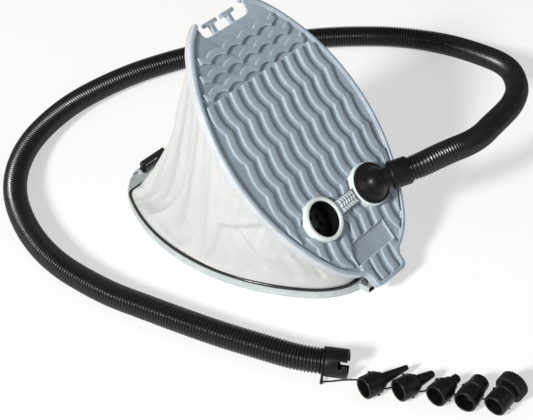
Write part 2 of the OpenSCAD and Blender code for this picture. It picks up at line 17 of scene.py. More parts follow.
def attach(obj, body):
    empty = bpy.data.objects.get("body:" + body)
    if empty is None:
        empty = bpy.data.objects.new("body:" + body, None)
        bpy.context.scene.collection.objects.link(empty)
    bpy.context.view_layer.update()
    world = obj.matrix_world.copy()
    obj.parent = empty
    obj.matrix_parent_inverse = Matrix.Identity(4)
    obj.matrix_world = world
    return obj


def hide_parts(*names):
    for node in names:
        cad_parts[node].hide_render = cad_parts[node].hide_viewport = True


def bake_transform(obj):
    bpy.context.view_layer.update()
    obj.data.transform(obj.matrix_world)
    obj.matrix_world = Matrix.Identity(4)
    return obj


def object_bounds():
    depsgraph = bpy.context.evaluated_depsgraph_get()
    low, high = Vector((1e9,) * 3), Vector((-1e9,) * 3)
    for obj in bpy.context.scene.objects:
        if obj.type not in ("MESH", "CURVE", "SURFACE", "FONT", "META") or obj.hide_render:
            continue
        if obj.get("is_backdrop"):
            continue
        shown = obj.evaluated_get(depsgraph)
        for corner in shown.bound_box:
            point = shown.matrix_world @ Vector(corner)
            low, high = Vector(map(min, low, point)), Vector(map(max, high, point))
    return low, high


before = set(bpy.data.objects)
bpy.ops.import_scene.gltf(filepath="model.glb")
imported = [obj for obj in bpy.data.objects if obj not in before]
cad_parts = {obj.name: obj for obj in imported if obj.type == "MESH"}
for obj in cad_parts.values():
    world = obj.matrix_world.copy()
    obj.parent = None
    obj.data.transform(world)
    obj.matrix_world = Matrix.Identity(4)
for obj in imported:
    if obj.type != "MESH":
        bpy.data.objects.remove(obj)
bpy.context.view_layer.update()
random.seed(7)

D = bpy.data
RAD = math.radians
MM = 0.001


# ------------------------------------------------------------------ frames
def basis(x, y, z, origin=(0, 0, 0)):
    rows = [(x[i], y[i], z[i], origin[i]) for i in range(3)]
    return Matrix((*rows, (0, 0, 0, 1)))


def move(x, y, z):
    return Matrix.Translation((x, y, z))


def spin(degrees, axis):
    return Matrix.Rotation(RAD(degrees), 4, axis)


OPENING = RAD(44.67)            # angle between the boards
COS, SIN = math.cos(OPENING), math.sin(OPENING)
HINGE_Y, HINGE_Z = -146.0, 13.0
SHUT_Y, SHUT_Z = -1.6, 29.4     # tread frame's origin when the boards are parallel
HINGE_V, HINGE_W = HINGE_Y - SHUT_Y, HINGE_Z - SHUT_Z   # hinge in the tread frame's y and z

BASE = Matrix.Identity(4)
# Tread frame: z = 0 is the top face of the tread board
TREAD = basis((1, 0, 0), (0, COS, SIN), (0, -SIN, COS),
              (0, -HINGE_V * COS + HINGE_W * SIN + HINGE_Y,
               -HINGE_V * SIN - HINGE_W * COS + HINGE_Z))
TREAD_HINGE = TREAD @ move(0, HINGE_V, HINGE_W) @ spin(90, 'Y')
ACROSS = basis((0, 1, 0), (0, 0, 1), (1, 0, 0))   # local x, y, z run along Y, Z, X

PORT_X, PORT_Y = 34, -73.5      # ports lie at +-PORT_X in the tread frame
ELBOW_Z = 10.0
ELBOW_RISE, ELBOW_TURN = 35.6, -17.3
ELBOW = (TREAD @ move(PORT_X, PORT_Y, ELBOW_Z) @ spin(ELBOW_TURN, 'Z')
         @ spin(90 - ELBOW_RISE, 'Y'))

# Mouth of the hose: the frame's z axis points out of the hose
MOUTH_AT = Vector((-127.3, -180.7, 13.3))
MOUTH_DIR = Vector((0.4736, -0.8807, 0)).normalized()
MOUTH = (Matrix.Translation(MOUTH_AT)
         @ Matrix.Rotation(math.atan2(MOUTH_DIR.y, MOUTH_DIR.x), 4, 'Z') @ spin(90, 'Y'))


# ------------------------------------------------------------------ mesh helpers
def clamp(x):
    return min(1, max(0, x))


def link(o):
    bpy.context.scene.collection.objects.link(o)
    return o


def smooth(o, angle=32):
    o.data.shade_smooth()
    o.data.set_sharp_from_angle(angle=RAD(angle))


def set_material(o, *mats):
    o.data.materials.clear()
    for mat in mats:
        o.data.materials.append(mat)


def solid(name, verts, faces, place=BASE, mat=None, angle=32):
    """A mesh from millimetre points given in the frame `place`."""
    me = D.meshes.new(name)
    me.from_pydata([tuple((place @ Vector(v)) * MM) for v in verts], [], faces)
    bm = bmesh.new()
    bm.from_mesh(me)
    bmesh.ops.remove_doubles(bm, verts=bm.verts, dist=1e-7)
    bmesh.ops.recalc_face_normals(bm, faces=bm.faces)
    bm.to_mesh(me)
    bm.free()
    me.validate()
    o = link(D.objects.new(name, me))
    smooth(o, angle)
    if mat:
        me.materials.append(mat)
    return o


def apply_mods(o):
    depsgraph = bpy.context.evaluated_depsgraph_get()
    depsgraph.update()
    me = D.meshes.new_from_object(o.evaluated_get(depsgraph))
    old = o.data
    o.modifiers.clear()
    o.data = me
    me.name = o.name
    D.meshes.remove(old)


def boolean(o, tool, operation):
    mod = o.modifiers.new("boolean", 'BOOLEAN')
    mod.operation, mod.object, mod.solver = operation, tool, 'EXACT'
    apply_mods(o)
    D.objects.remove(tool, do_unlink=True)


def bevel(o, width, angle=40):
    mod = o.modifiers.new("bevel", 'BEVEL')
    mod.width, mod.segments = width * MM, 2
    mod.limit_method, mod.angle_limit = 'ANGLE', RAD(angle)
    apply_mods(o)


def join(name, objs):
    bm = bmesh.new()
    mats = []
    for o in objs:
        slots = []
        for mat in o.data.materials:
            if mat not in mats:
                mats.append(mat)
            slots.append(mats.index(mat))
        for p in o.data.polygons:
            p.material_index = slots[p.material_index]
        bm.from_mesh(o.data)
    me = D.meshes.new(name)
    bm.to_mesh(me)
    bm.free()
    for mat in mats:
        me.materials.append(mat)
    for o in objs:
        D.objects.remove(o, do_unlink=True)
    return link(D.objects.new(name, me))


def skin(rows, cols, closed=False, flip=False, start=0):
    """Quads between successive rings of `cols` points; `closed` joins the last to the first."""
    faces = []
    for i in range(rows if closed else rows - 1):
        here, there = start + i * cols, start + (i + 1) % rows * cols
        for k in range(cols):
            l = (k + 1) % cols
            quad = (here + k, here + l, there + l, there + k)
            faces.append((quad[0], *quad[:0:-1]) if flip else quad)
    return faces


def caps(rows, cols, flip=False):
    first, last = tuple(range(cols)), tuple(range((rows - 1) * cols, rows * cols))
    return [first, last[::-1]] if flip else [first[::-1], last]


def rounded(points, radii, steps=4):
    """Rounds the corners of a closed 2-D polygon by one radius or by one per corner."""
    out, n = [], len(points)
    for i in range(n):
        p, before, after = Vector(points[i]), Vector(points[i - 1]), Vector(points[(i + 1) % n])
        r = radii[i] if isinstance(radii, list) else radii
        if r <= 0:
            out.append(tuple(p))
            continue
        u, v = before - p, after - p
        len_u, len_v = u.length, v.length
        u.normalize()
        v.normalize()
        corner = math.acos(max(-1, min(1, u.dot(v))))
        if corner > math.pi - 0.02:
            out.append(tuple(p))
            continue
        d = min(r / math.tan(corner / 2), len_u * 0.49, len_v * 0.49)
        r = d * math.tan(corner / 2)
        c = p + (u + v).normalized() * (r / math.sin(corner / 2))
        s, e = p + u * d, p + v * d
        a0, a1 = math.atan2(s.y - c.y, s.x - c.x), math.atan2(e.y - c.y, e.x - c.x)
        turn = (a1 - a0 + math.pi) % (2 * math.pi) - math.pi
        for j in range(steps + 1):
            a = a0 + turn * j / steps
            out.append((c.x + r * math.cos(a), c.y + r * math.sin(a)))
    return out


def box(x0, x1, y0, y1, r=0):
    points = [(x0, y0), (x1, y0), (x1, y1), (x0, y1)]
    return rounded(points, r) if r else points


def circle(r, n, cx=0, cy=0):
    angles = [2 * math.pi * k / n for k in range(n)]
    return [(cx + r * math.cos(a), cy + r * math.sin(a)) for a in angles]


def lathe(name, profile, place, mat, n=64, angle=32, radius_at=None):
    """Revolves a closed (radius, z) profile about Z; radius_at(r, a) may vary it round the turn."""
    verts = []
    for i in range(n):
        a = 2 * math.pi * i / n
        for r, z in profile:
            if radius_at:
                r = radius_at(r, a)
            verts.append((r * math.cos(a), r * math.sin(a), z))
    return solid(name, verts, skin(n, len(profile), closed=True, flip=True), place, mat, angle)


def prism(name, poly, low, high, place, mat=None):
    verts = [(x, y, z) for z in (low, high) for x, y in poly]
    return solid(name, verts, caps(2, len(poly)) + skin(2, len(poly)), place, mat)


def add(o, poly, low, high, place):
    boolean(o, prism("tool", poly, low, high, place), 'UNION')


def cut(o, poly, low, high, place):
    boolean(o, prism("tool", poly, low, high, place), 'DIFFERENCE')


def sweep(name, points, section, mat, up=(0, 0, 1), closed=False):
    """Sweeps a closed 2-D section along points in the base frame."""
    path = [Vector(p) for p in points]
    n = len(path)
    verts = []
    for i in range(n):
        before = path[i - 1] if closed or i else path[0]
        after = path[(i + 1) % n] if closed or i < n - 1 else path[-1]
        along = (after - before).normalized()
        x = Vector(up).cross(along).normalized()
        y = along.cross(x)
        verts += [path[i] + x * u + y * v for u, v in section]
    faces = skin(n, len(section), closed)
    if not closed:
        faces += caps(n, len(section))
    return solid(name, verts, faces, BASE, mat, 40)


def points_of(o):
    return np.array([v.co for v in o.data.vertices])


def set_points(o, points):
    o.data.vertices.foreach_set("co", points.astype(np.float32).ravel())
    o.data.update()


def set_share(o, share):
    """Takes each vertex's share of the way to the second of its two blended parts, but only
    converts it to float32 and stores nothing.
    """
    np.float32(share)


# ------------------------------------------------------------------ materials (lengths in metres)
class Shader:
    """A new material, with short ways to add and link its nodes."""

    def __init__(self, name):
        self.mat = D.materials.new(name)
        self.mat.use_nodes = True
        self.tree = self.mat.node_tree
        self.surface = self.tree.nodes["Principled BSDF"]

    def put(self, value, socket):
        if isinstance(value, bpy.types.NodeSocket):
            self.tree.links.new(value, socket)
        else:
            socket.default_value = value

    def node(self, kind, inputs, **settings):
        n = self.tree.nodes.new("ShaderNode" + kind)
        for key, value in settings.items():
            setattr(n, key, value)
        for key, value in inputs.items():
            self.put(value, n.inputs[key])
        return n

    def set(self, inputs):
        for key, value in inputs.items():
            self.put(value, self.surface.inputs[key])

    def coords(self, scale=(1, 1, 1), rotation=(0, 0, 0)):
        where = self.node("TexCoord", {}).outputs["Object"]
        inputs = {"Vector": where, "Scale": scale, "Rotation": rotation}
        return self.node("Mapping", inputs).outputs["Vector"]

    def noise(self, where, scale, detail, rough=0.5):
        inputs = {"Vector": where, "Scale": scale, "Detail": detail, "Roughness": rough}
        return self.node("TexNoise", inputs).outputs["Fac"]

    def ramp(self, value, start, low, end, high):
        """Colour running from `low` at `start` to `high` at `end`."""
        n = self.node("ValToRGB", {"Fac": value})
        for element, place, colour in zip(n.color_ramp.elements, (start, end), (low, high)):
            element.position = place
            element.color = (*colour, 1)
        return n.outputs["Color"]

    def math(self, operation, *values, clamped=False):
        inputs = dict(enumerate(values))
        return self.node("Math", inputs, operation=operation, use_clamp=clamped).outputs[0]

    def mix(self, factor, a, b):
        # sockets 6, 7 and output 2 are the node's colours
        n = self.node("Mix", {0: factor, 6: a, 7: b}, data_type='RGBA')
        return n.outputs[2]

    def bevel(self, radius):
        return self.node("Bevel", {"Radius": radius}, samples=4).outputs["Normal"]

    def bump(self, inputs):
        return self.node("Bump", inputs).outputs["Normal"]


def plastic(name, low, high, rough=0.42, edge=None, wear_and_highlight=0.5, spec=0.45, relief=0.0009,
            corner=0.0006):
    """Moulded plastic mottled from `low` to `high`, with fine grain, scuffs and paler edges: worn
    edges, and with a near-white `edge` colour a painted highlight.
    """
    sh = Shader(name)
    where = sh.coords()
    broad = sh.noise(where, scale=14, detail=3)
    mottle = sh.noise(where, scale=75, detail=5, rough=0.6)
    grain = sh.noise(where, scale=900, detail=2)
    clouds = sh.ramp(broad, 0.35, low, 0.68, high)
    specks = sh.ramp(mottle, 0.40, tuple(c * 0.93 for c in low),
                     0.62, tuple(c * 1.06 for c in high))
    colour = sh.mix(0.45, clouds, specks)
    soft_normal = sh.bevel(corner)
    if edge:
        # a wide bevel's normal leaves the face's own normal only near an edge
        face = sh.node("NewGeometry", {}).outputs["Normal"]
        wide = sh.bevel(corner * 2.2)
        agree = sh.node("VectorMath", {0: wide, 1: face}, operation='DOT_PRODUCT')
        wear_and_highlight_mask = sh.math('SUBTRACT', 1.0, agree.outputs["Value"])
        wear_and_highlight_mask = sh.math('MULTIPLY', wear_and_highlight_mask, 5.0, clamped=True)
        patchy = sh.math('MULTIPLY', mottle, 2 * wear_and_highlight)
        wear_and_highlight_mask = sh.math('MULTIPLY', wear_and_highlight_mask, patchy, clamped=True)
        # paler edges: edge wear, and with a near-white edge colour a painted highlight where the
        # light catches the edges
        colour = sh.mix(wear_and_highlight_mask, colour, (*edge, 1))
    gloss = sh.math('MULTIPLY_ADD', mottle, 0.22, rough - 0.11)
    # scuffs: sparse stretched streaks that roughen the gloss
    streaks = sh.noise(sh.coords((1, 14, 1), (0, 0, 0.6)), scale=160, detail=2)
    scuffs = sh.math('MULTIPLY', sh.math('GREATER_THAN', streaks, 0.66), 0.07)
    height = sh.math('ADD', sh.math('MULTIPLY', grain, 0.12), sh.math('MULTIPLY', mottle, 0.10))
    sh.set({"Base Color": colour, "Roughness": sh.math('ADD', gloss, scuffs),
            "Specular IOR Level": spec,
            "Normal": sh.bump({"Strength": 0.35, "Distance": relief, "Height": height,
                               "Normal": soft_normal})})
    return sh.mat


def metal(name, colour, rough):
    sh = Shader(name)
    grain = sh.noise(sh.coords(), scale=400, detail=3)
    dark = tuple(c * 0.85 for c in colour)
    sh.set({"Base Color": sh.ramp(grain, 0.3, dark, 0.7, colour), "Metallic": 1.0,
            "Roughness": sh.math('MULTIPLY_ADD', grain, 0.2, rough),
            "Normal": sh.bevel(0.0003)})
    return sh.mat


def coated_fabric(name):
    """White coated cloth: fine plain weave under a soft sheen, with faint mottling."""
    sh = Shader(name)
    where = sh.coords()
    threads = [sh.node("TexWave", {"Vector": where, "Scale": 420, "Distortion": 0.6, "Detail": 1},
                       wave_type='BANDS', bands_direction=axis).outputs["Fac"]
               for axis in ('Z', 'X')]
    weave = sh.math('MULTIPLY', *threads)
    broad = sh.noise(where, scale=9, detail=4)
    mottle = sh.noise(where, scale=60, detail=5, rough=0.62)
    clouds = sh.ramp(broad, 0.3, (0.455, 0.458, 0.455), 0.7, (0.49, 0.493, 0.49))
    marks = sh.ramp(mottle, 0.35, (0.45, 0.452, 0.448), 0.6, (0.51, 0.512, 0.508))
    colour = sh.mix(0.35, clouds, marks)
    colour = sh.mix(sh.math('MULTIPLY', weave, 0.10), colour, (0.47, 0.47, 0.455, 1))
    height = sh.math('ADD', sh.math('MULTIPLY', weave, 0.18), sh.math('MULTIPLY', mottle, 0.7))
    sh.set({"Base Color": colour, "Roughness": sh.math('MULTIPLY_ADD', mottle, 0.2, 0.42),
            "Specular IOR Level": 0.35, "Sheen Weight": 0.15,
            "Subsurface Weight": 0.08, "Subsurface Radius": (0.004, 0.004, 0.004),
            "Normal": sh.bump({"Strength": 0.5, "Distance": 0.0006, "Height": height})})
    return sh.mat


# painted highlight: a near-white edge colour, at full strength on the tread plastic, stands in for
# the light catching the ribs' and rim's edges
PAINTED_EDGE_HIGHLIGHT = (0.86, 0.90, 0.93)
BLUE = plastic("tread_plastic", (0.283, 0.348, 0.408), (0.323, 0.388, 0.450), rough=0.38,
               edge=PAINTED_EDGE_HIGHLIGHT, wear_and_highlight=1.0, corner=0.0004)
COLLAR = plastic("collar_plastic", (0.60, 0.66, 0.66), (0.66, 0.72, 0.71), rough=0.38,
                 edge=(0.85, 0.88, 0.87), wear_and_highlight=0.4)
# painted light: a paler copy of the tread plastic that stands in for the light falling on the rim
# wall
PAINTED_LIT_WALL = plastic("tread_wall_painted_light", (0.45, 0.48, 0.50), (0.49, 0.52, 0.54), rough=0.40,
               edge=PAINTED_EDGE_HIGHLIGHT, wear_and_highlight=0.6, corner=0.0004)
GREY = plastic("base_plastic", (0.35, 0.39, 0.40), (0.41, 0.45, 0.46), edge=(0.66, 0.70, 0.71))
VALVE = plastic("valve_plastic", (0.016, 0.017, 0.019), (0.024, 0.025, 0.028), rough=0.45)
BLACK = plastic("black_plastic", (0.004, 0.004, 0.005), (0.007, 0.007, 0.008), rough=0.36,
                edge=(0.03, 0.03, 0.032), spec=0.2, relief=0.0006)
HOSE = plastic("hose_plastic", (0.004, 0.004, 0.0045), (0.007, 0.007, 0.0075), rough=0.28,
               spec=0.42, relief=0.0003)
BAND = plastic("band_gloss", (0.006, 0.006, 0.007), (0.012, 0.012, 0.013), rough=0.18,
               spec=0.6, relief=0.0002)
RUBBER = plastic("strap_rubber", (0.012, 0.012, 0.013), (0.02, 0.02, 0.021), rough=0.5, spec=0.35)
STEEL = metal("pin_steel", (0.16, 0.16, 0.165), rough=0.35)
SPRING = metal("spring_steel", (0.50, 0.51, 0.53), rough=0.3)
FABRIC = coated_fabric("coated_fabric")

# ------------------------------------------------------------------ oval outline of the boards
# Four arcs: two of radius END_R at the ends and two of radius SIDE_R along the sides.
HALF_LENGTH, HALF_WIDTH, END_R = 142.5, 92.4, 69.0
SIDE_R = ((HALF_WIDTH * HALF_WIDTH + HALF_LENGTH * HALF_LENGTH - 2 * HALF_LENGTH * END_R)
          / (2 * (HALF_WIDTH - END_R)))
SIDE_X, END_Y = SIDE_R - HALF_WIDTH, HALF_LENGTH - END_R   # distances of the arcs' centres
MEET = math.atan2(END_Y, SIDE_X)                           # angle where the arcs meet


def outline(inset, end_steps=44, side_steps=80):
    """Points round the oval moved in by `inset`, counter-clockwise from the +X side."""
    pi = math.pi
    out = []
    for cx, cy, r, a0, a1, n in ((-SIDE_X, 0, SIDE_R, -MEET, MEET, side_steps),
                                 (0, END_Y, END_R, MEET, pi - MEET, end_steps),
                                 (SIDE_X, 0, SIDE_R, pi - MEET, pi + MEET, side_steps),
                                 (0, -END_Y, END_R, pi + MEET, 2 * pi - MEET, end_steps)):
        for i in range(n):
            a = a0 + (a1 - a0) * i / n
            out.append((cx + (r - inset) * math.cos(a), cy + (r - inset) * math.sin(a)))
    return out


def inside_oval(x, y, inset):
    if abs(y) > math.sin(MEET) * (SIDE_R - inset):
        return x * x + (abs(y) - END_Y) ** 2 < (END_R - inset) ** 2
    return (abs(x) + SIDE_X) ** 2 + y * y < (SIDE_R - inset) ** 2


def board(name, profile, place, mat):
    """An oval board from an (inset, z) profile, its first and last loops closed over."""
    loops = [[(x, y, z) for x, y in outline(inset)] for inset, z in profile]
    rows, cols = len(loops), len(loops[0])
    return solid(name, sum(loops, []), skin(rows, cols) + caps(rows, cols), place, mat)


# ------------------------------------------------------------------ tread board
GROOVE = 2.9             # depth of the field between the ribs
TREAD_UNDER = -4.6       # underside of the tread's plate
LIP_R = 2.4              # rounding of the outer top edge
PANEL_X, PANEL_Y0, PANEL_Y1 = 26.7, -127.3, -107.0   # plain sunken panel near the hinge
HOOK_X = 11.6            # centre of each latch hook

profile = [(3.0, TREAD_UNDER), (3.0, -9.75), (2.75, -10.0), (0.5, -10.0), (0.15, -9.85),
           (0.0, -9.5), (0.0, -7.0)]
for k in range(7):
    a = math.pi - (math.pi / 2) * k / 6
    profile.append((LIP_R + LIP_R * math.cos(a), -LIP_R + LIP_R * math.sin(a)))
profile += [(3.3, 0.0), (3.8, -0.12), (4.15, -0.5), (4.4, -GROOVE + 0.5), (4.8, -GROOVE + 0.1),
            (5.3, -GROOVE)]
tray = board("tread_board", profile, TREAD, BLUE)

# tab over the hinge, with hollow corners where it leaves the oval, and its sunken field
add(tray, rounded([(-27, -134.4), (-21.3, -141.5), (-21, -154.5), (21, -154.5), (21.3, -141.5),
                   (27, -134.4), (24, -122), (-24, -122)], [1, 6, 6, 6, 6, 1, 2, 2], 6),
    -8.2, -0.02, TREAD)
cut(tray, rounded([(-17.6, -126.5), (17.6, -126.5), (17.6, -150.8), (-17.6, -150.8)],
                  [0.5, 0.5, 4, 4], 5), -GROOVE, 3, TREAD)
# notch at the latch end
cut(tray, rounded([(-30, 118), (30, 118), (33, 150), (-33, 150)], [5, 5, 0, 0], 6), -12, 3, TREAD)

# two T-shaped hooks in the notch
hooks = []
for side in (-1, 1):
    mid = side * HOOK_X
    tee = rounded([(mid - 2.5, 115.2), (mid + 2.5, 115.2), (mid + 2.5, 127), (mid + 8.6, 127),
                   (mid + 8.6, 131), (mid - 8.6, 131), (mid - 8.6, 127), (mid - 2.5, 127)],
                  [0.3, 0.3, 1.2, 1.1, 1.1, 1.1, 1.1, 1.2])
    hook = prism("hook", tee, -9.95, -6.4, TREAD, BLUE)
    add(hook, box(mid - 2.5, mid + 2.5, 115.2, 118.4, 0.2), -9.9, -4.4, TREAD)
    bevel(hook, 0.55)
    set_material(hook, BLUE)
    hooks.append(hook)
hooks = join("latch_hooks", hooks)
smooth(hooks)

add(tray, box(-32.5, 32.5, 107.5, 109.7, 0.5), -9.6, -4.0, TREAD)   # wall behind the hooks
for side in (-1, 1):
    cut(tray, circle(19.3, 64, side * PORT_X, PORT_Y), -12, 4, TREAD)
# raised frame of the panel, then the panel itself
add(tray, box(-27.5, 27.5, -128.1, -106.2, 0.9), -GROOVE - 0.3, -GROOVE + 1.3, TREAD)
cut(tray, box(-PANEL_X, PANEL_X, PANEL_Y0, PANEL_Y1, 0.8), -3.6, 3, TREAD)
bevel(tray, 0.55)
smooth(tray, 30)
set_material(tray, BLUE, PAINTED_LIT_WALL)
# painted light: a paler copy of the tread plastic on the outward rim wall, away from the middle of
# the ends, where the key light falls
to_tread = TREAD.inverted()
for p in tray.data.polygons:
    c = to_tread @ (Vector(p.center) / MM)
    normal = to_tread.to_3x3() @ p.normal
    lit_wall_faces = abs(normal.z) < 0.6 and normal.x * c.x + normal.y * c.y > 0
    if lit_wall_faces and -10.1 < c.z < -0.8 and abs(c.x) > 32 and not inside_oval(c.x, c.y, 2.0):
        p.material_index = 1

# ------------------------------------------------------------------ tread ribs
RIB_PITCH, RIB_WIDTH = 15.7, 7.4
RIB_ROUND = 0.5
FIELD_INSET = 6.6        # the ribs stop this far inside the oval
CROSS_WIDTH = 6.6        # width of the cross ribs at the latch end
WAVE = 32.0              # length of one scallop of the long ribs
rib_verts, rib_faces = [], []


def scallop(y):
    """Sideways shift of a long rib at y: skewed arches towards -X."""
    s = ((y - 5.3) / WAVE) % 1.0
    return -3.8 * 4 * s * (1 - s) * (1.25 - 0.5 * s)


def edge_spans(x, low, high, step=0.5):
    """Stretches of the scalloped line at x that lie on the tread field, clear of its features."""
    spans, current = [], None
    y = low
    while y <= high + 1e-6:
        xx = x + scallop(y)
        on_tab = abs(xx) < 17.2 and -150.4 < y < -126.5
        on_panel = abs(xx) < PANEL_X + 0.6 and PANEL_Y0 - 0.6 < y < PANEL_Y1 + 0.6
        on_port = any((xx - side * PORT_X) ** 2 + (y - PORT_Y) ** 2 < 20.2 ** 2
                      for side in (-1, 1))
        on_bridge = abs(xx) < 16 and abs(y - PORT_Y) < 7.0
        if ((inside_oval(xx, y, FIELD_INSET) or on_tab)
                and not (on_panel or on_port or on_bridge)):
            current = [y, y] if current is None else [current[0], y]
        elif current:
            spans.append(current)
            current = None
        y += step
    if current:
        spans.append(current)
    return [s for s in spans if s[1] - s[0] > 2.0]


def add_rib(left, right):
    """Adds a strip between two edge lines, its top edges rounded and its ends lower."""
    low, high, r = -GROOVE - 0.25, -0.02, RIB_ROUND
    shape = [(0, low), (0, high - r), (0.13 * r, high - 0.5 * r), (0.5 * r, high - 0.13 * r),
             (r, high)]
    n, start = len(left), len(rib_verts)
    for i in range(n):
        l, r_edge = Vector(left[i]), Vector(right[i])
        e = r_edge - l
        width = max(e.length, 1e-6)
        e = e / width
        top = high - r if i in (0, n - 1) else high
        for edge, sign, half in ((l, 1, shape), (r_edge, -1, shape[::-1])):
            for inset, z in half:
                d = sign * min(inset, width * 0.45)
                rib_verts.append((edge.x + e.x * d, edge.y + e.y * d, min(z, top)))
    m = 2 * len(shape)
    faces = skin(n, m, flip=True) + caps(n, m, flip=True)
    rib_faces.extend(tuple(start + v for v in face) for face in faces)


# long ribs
for i in range(11):
    x = -87.5 + i * RIB_PITCH
    lefts, rights = edge_spans(x, -152, 66.5), edge_spans(x + RIB_WIDTH, -152, 66.5)
    pairs = [(a, b) for a in lefts for b in rights if min(a[1], b[1]) - max(a[0], b[0]) >= 2]
    for (a0, a1), (b0, b1) in pairs:
        # where a port cuts only one edge of a rib, the other edge stops close by
        before = any(a[0] < a0 or b[0] < b0 for a, b in pairs)
        after = any(a[0] > a0 or b[0] > b0 for a, b in pairs)
        if before:
            a0, b0 = max(a0, b0 - 5), max(b0, a0 - 5)
        if after:
            a1, b1 = min(a1, b1 + 5), min(b1, a1 + 5)
        if min(a1 - a0, b1 - b0) < 2:
            continue
        n = max(8, int(max(a1 - a0, b1 - b0) / 1.6))
        left, right = [], []
        for k in range(n + 1):
            s = k / n
            ya, yb = a0 + (a1 - a0) * s, b0 + (b1 - b0) * s
            left.append((x + scallop(ya), ya))
            right.append((x + RIB_WIDTH + scallop(yb), yb))
        add_rib(left, right)

# cross ribs at the latch end, alternate rows offset
ARCH, ARCH_STEPS = 21.2, 14
for row in range(5):
    row_y = 68.5 + 14.3 * row
    x0, arches = (-84.8, 8) if row % 2 == 0 else (-74.2, 7)
    left, right = [], []
    for k in range(arches * ARCH_STEPS + 2):
        x = x0 + ARCH * k / ARCH_STEPS
        s = (k % ARCH_STEPS) / ARCH_STEPS
        y = row_y + 4 * 3.6 * s * (1 - s)
        far_y = y + CROSS_WIDTH
        on_field = inside_oval(x, far_y, FIELD_INSET) and inside_oval(x, y, FIELD_INSET)
        by_notch = far_y > 116.8 and abs(x) < 31.5
        if k <= arches * ARCH_STEPS and on_field and not by_notch:
            left.append((x, far_y))
            right.append((x, y))
        else:
            # the run of points ends here
            if len(left) > 6:
                add_rib(left, right)
            left, right = [], []
ribs = solid("tread_ribs", rib_verts, rib_faces, TREAD, BLUE, 30)

# ------------------------------------------------------------------ ports
# collars, black inside
collar = rounded([(17.0, 4.5), (17.0, 2.2), (17.0, -14.0), (16.6, -14.0), (16.6, -16.0),
                  (15.0, -16.0), (15.0, -18.0), (19.5, -18.0), (19.5, -4.4), (21.0, -4.4),
                  (21.0, 4.5)], [1.0, 0, 0, 0, 0, 0.3, 0.3, 0.4, 0, 0, 1.7])
for side, name in ((-1, "port_collar_left"), (1, "port_collar_right")):
    port = TREAD @ move(side * PORT_X, PORT_Y, 0)
    o = lathe(name, collar, port, COLLAR, 128, 30)
    o.data.materials.append(BLACK)
    to_port = port.inverted()
    for p in o.data.polygons:
        c = to_port @ (Vector(p.center) / MM)
        if math.hypot(c.x, c.y) < 18.5 and c.z < 2.0:
            p.material_index = 1
    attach(o, "tread")

# block between the ports, with three rows of leaning bars on top
bridge = prism("port_bridge", box(-19, 19, PORT_Y - 6.75, PORT_Y + 6.75, 1.0), -3.2, 3.2, TREAD,
               BLUE)
for side in (-1, 1):
    cut(bridge, circle(20.6, 64, side * PORT_X, PORT_Y), -12, 9, TREAD)
bars = []
for row in range(3):
    lean = 0.7 if row % 2 else -0.7
    y = PORT_Y - 4.2 + 4.2 * row
    for col in range(6):
        x = -8.75 + 3.5 * col
        bar = [(x - 0.8 - lean, y - 1.65), (x + 0.8 - lean, y - 1.65),
               (x + 0.8 + lean, y + 1.65), (x - 0.8 + lean, y + 1.65)]
        bars.append(prism("bar", bar, 3.0, 4.5, TREAD, COLLAR))
bevel(bridge, 0.5)
set_material(bridge, BLUE)
bars = join("bridge_pattern", bars)
smooth(bars, 30)
for o in (tray, ribs, bridge, bars, hooks):
    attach(o, "tread")
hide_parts("top_board")

# ------------------------------------------------------------------ parts under the tread board
PIN_R, KNUCKLE_R = 2.55, 4.2
SPRING_REACH = 140       # from the hinge to the spring's axis, along either board
BASE_FLOOR = 2.5         # top of the base's floor

knuckle = prism("tread_knuckle", box(-9, 9, HINGE_V - KNUCKLE_R, HINGE_V + KNUCKLE_R, 0.4),
                HINGE_W, -7.9, TREAD, BLUE)
sleeve = lathe("sleeve", rounded([(PIN_R, -9), (KNUCKLE_R, -9), (KNUCKLE_R, 9), (PIN_R, 9)],
                                 [0.2, 0.4, 0.4, 0.2], 2), TREAD_HINGE, BLUE, 48)
cut(knuckle, circle(3.4, 32), -20, 20, TREAD_HINGE)
knuckle = join("tread_knuckle", [knuckle, sleeve])
smooth(knuckle, 35)
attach(knuckle, "tread")

# ring that centres the spring under the board
o = lathe("tread_spring_seat",
          rounded([(25, -10), (27.6, -10), (27.6, -4.4), (25, -4.4)], [0.6, 0.6, 0, 0], 3),
          TREAD @ move(0, HINGE_V + SPRING_REACH, 0), BLUE, 96)
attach(o, "tread")

# ------------------------------------------------------------------ base board
CHAMBER_Y0, CHAMBER_Y1 = -137.0, 118.0   # the air chamber's flat ends
LATCH_Y, LATCH_Z, LATCH_PIN_R = 135, 6.5, 1.55

profile = [(6.0, 0.0), (0.5, 0.0), (0.15, 0.12), (0.0, 0.5), (0.0, 3.1), (0.2, 3.4), (0.75, 3.5),
           (0.9, 3.7), (0.9, 7.2), (1.2, 7.5), (6.0, 7.5)]
base = board("base_board_shell", profile, BASE, GREY)
cut(base, [(x, y) for x, y in outline(5.5) if CHAMBER_Y0 < y < CHAMBER_Y1], BASE_FLOOR, 12, BASE)
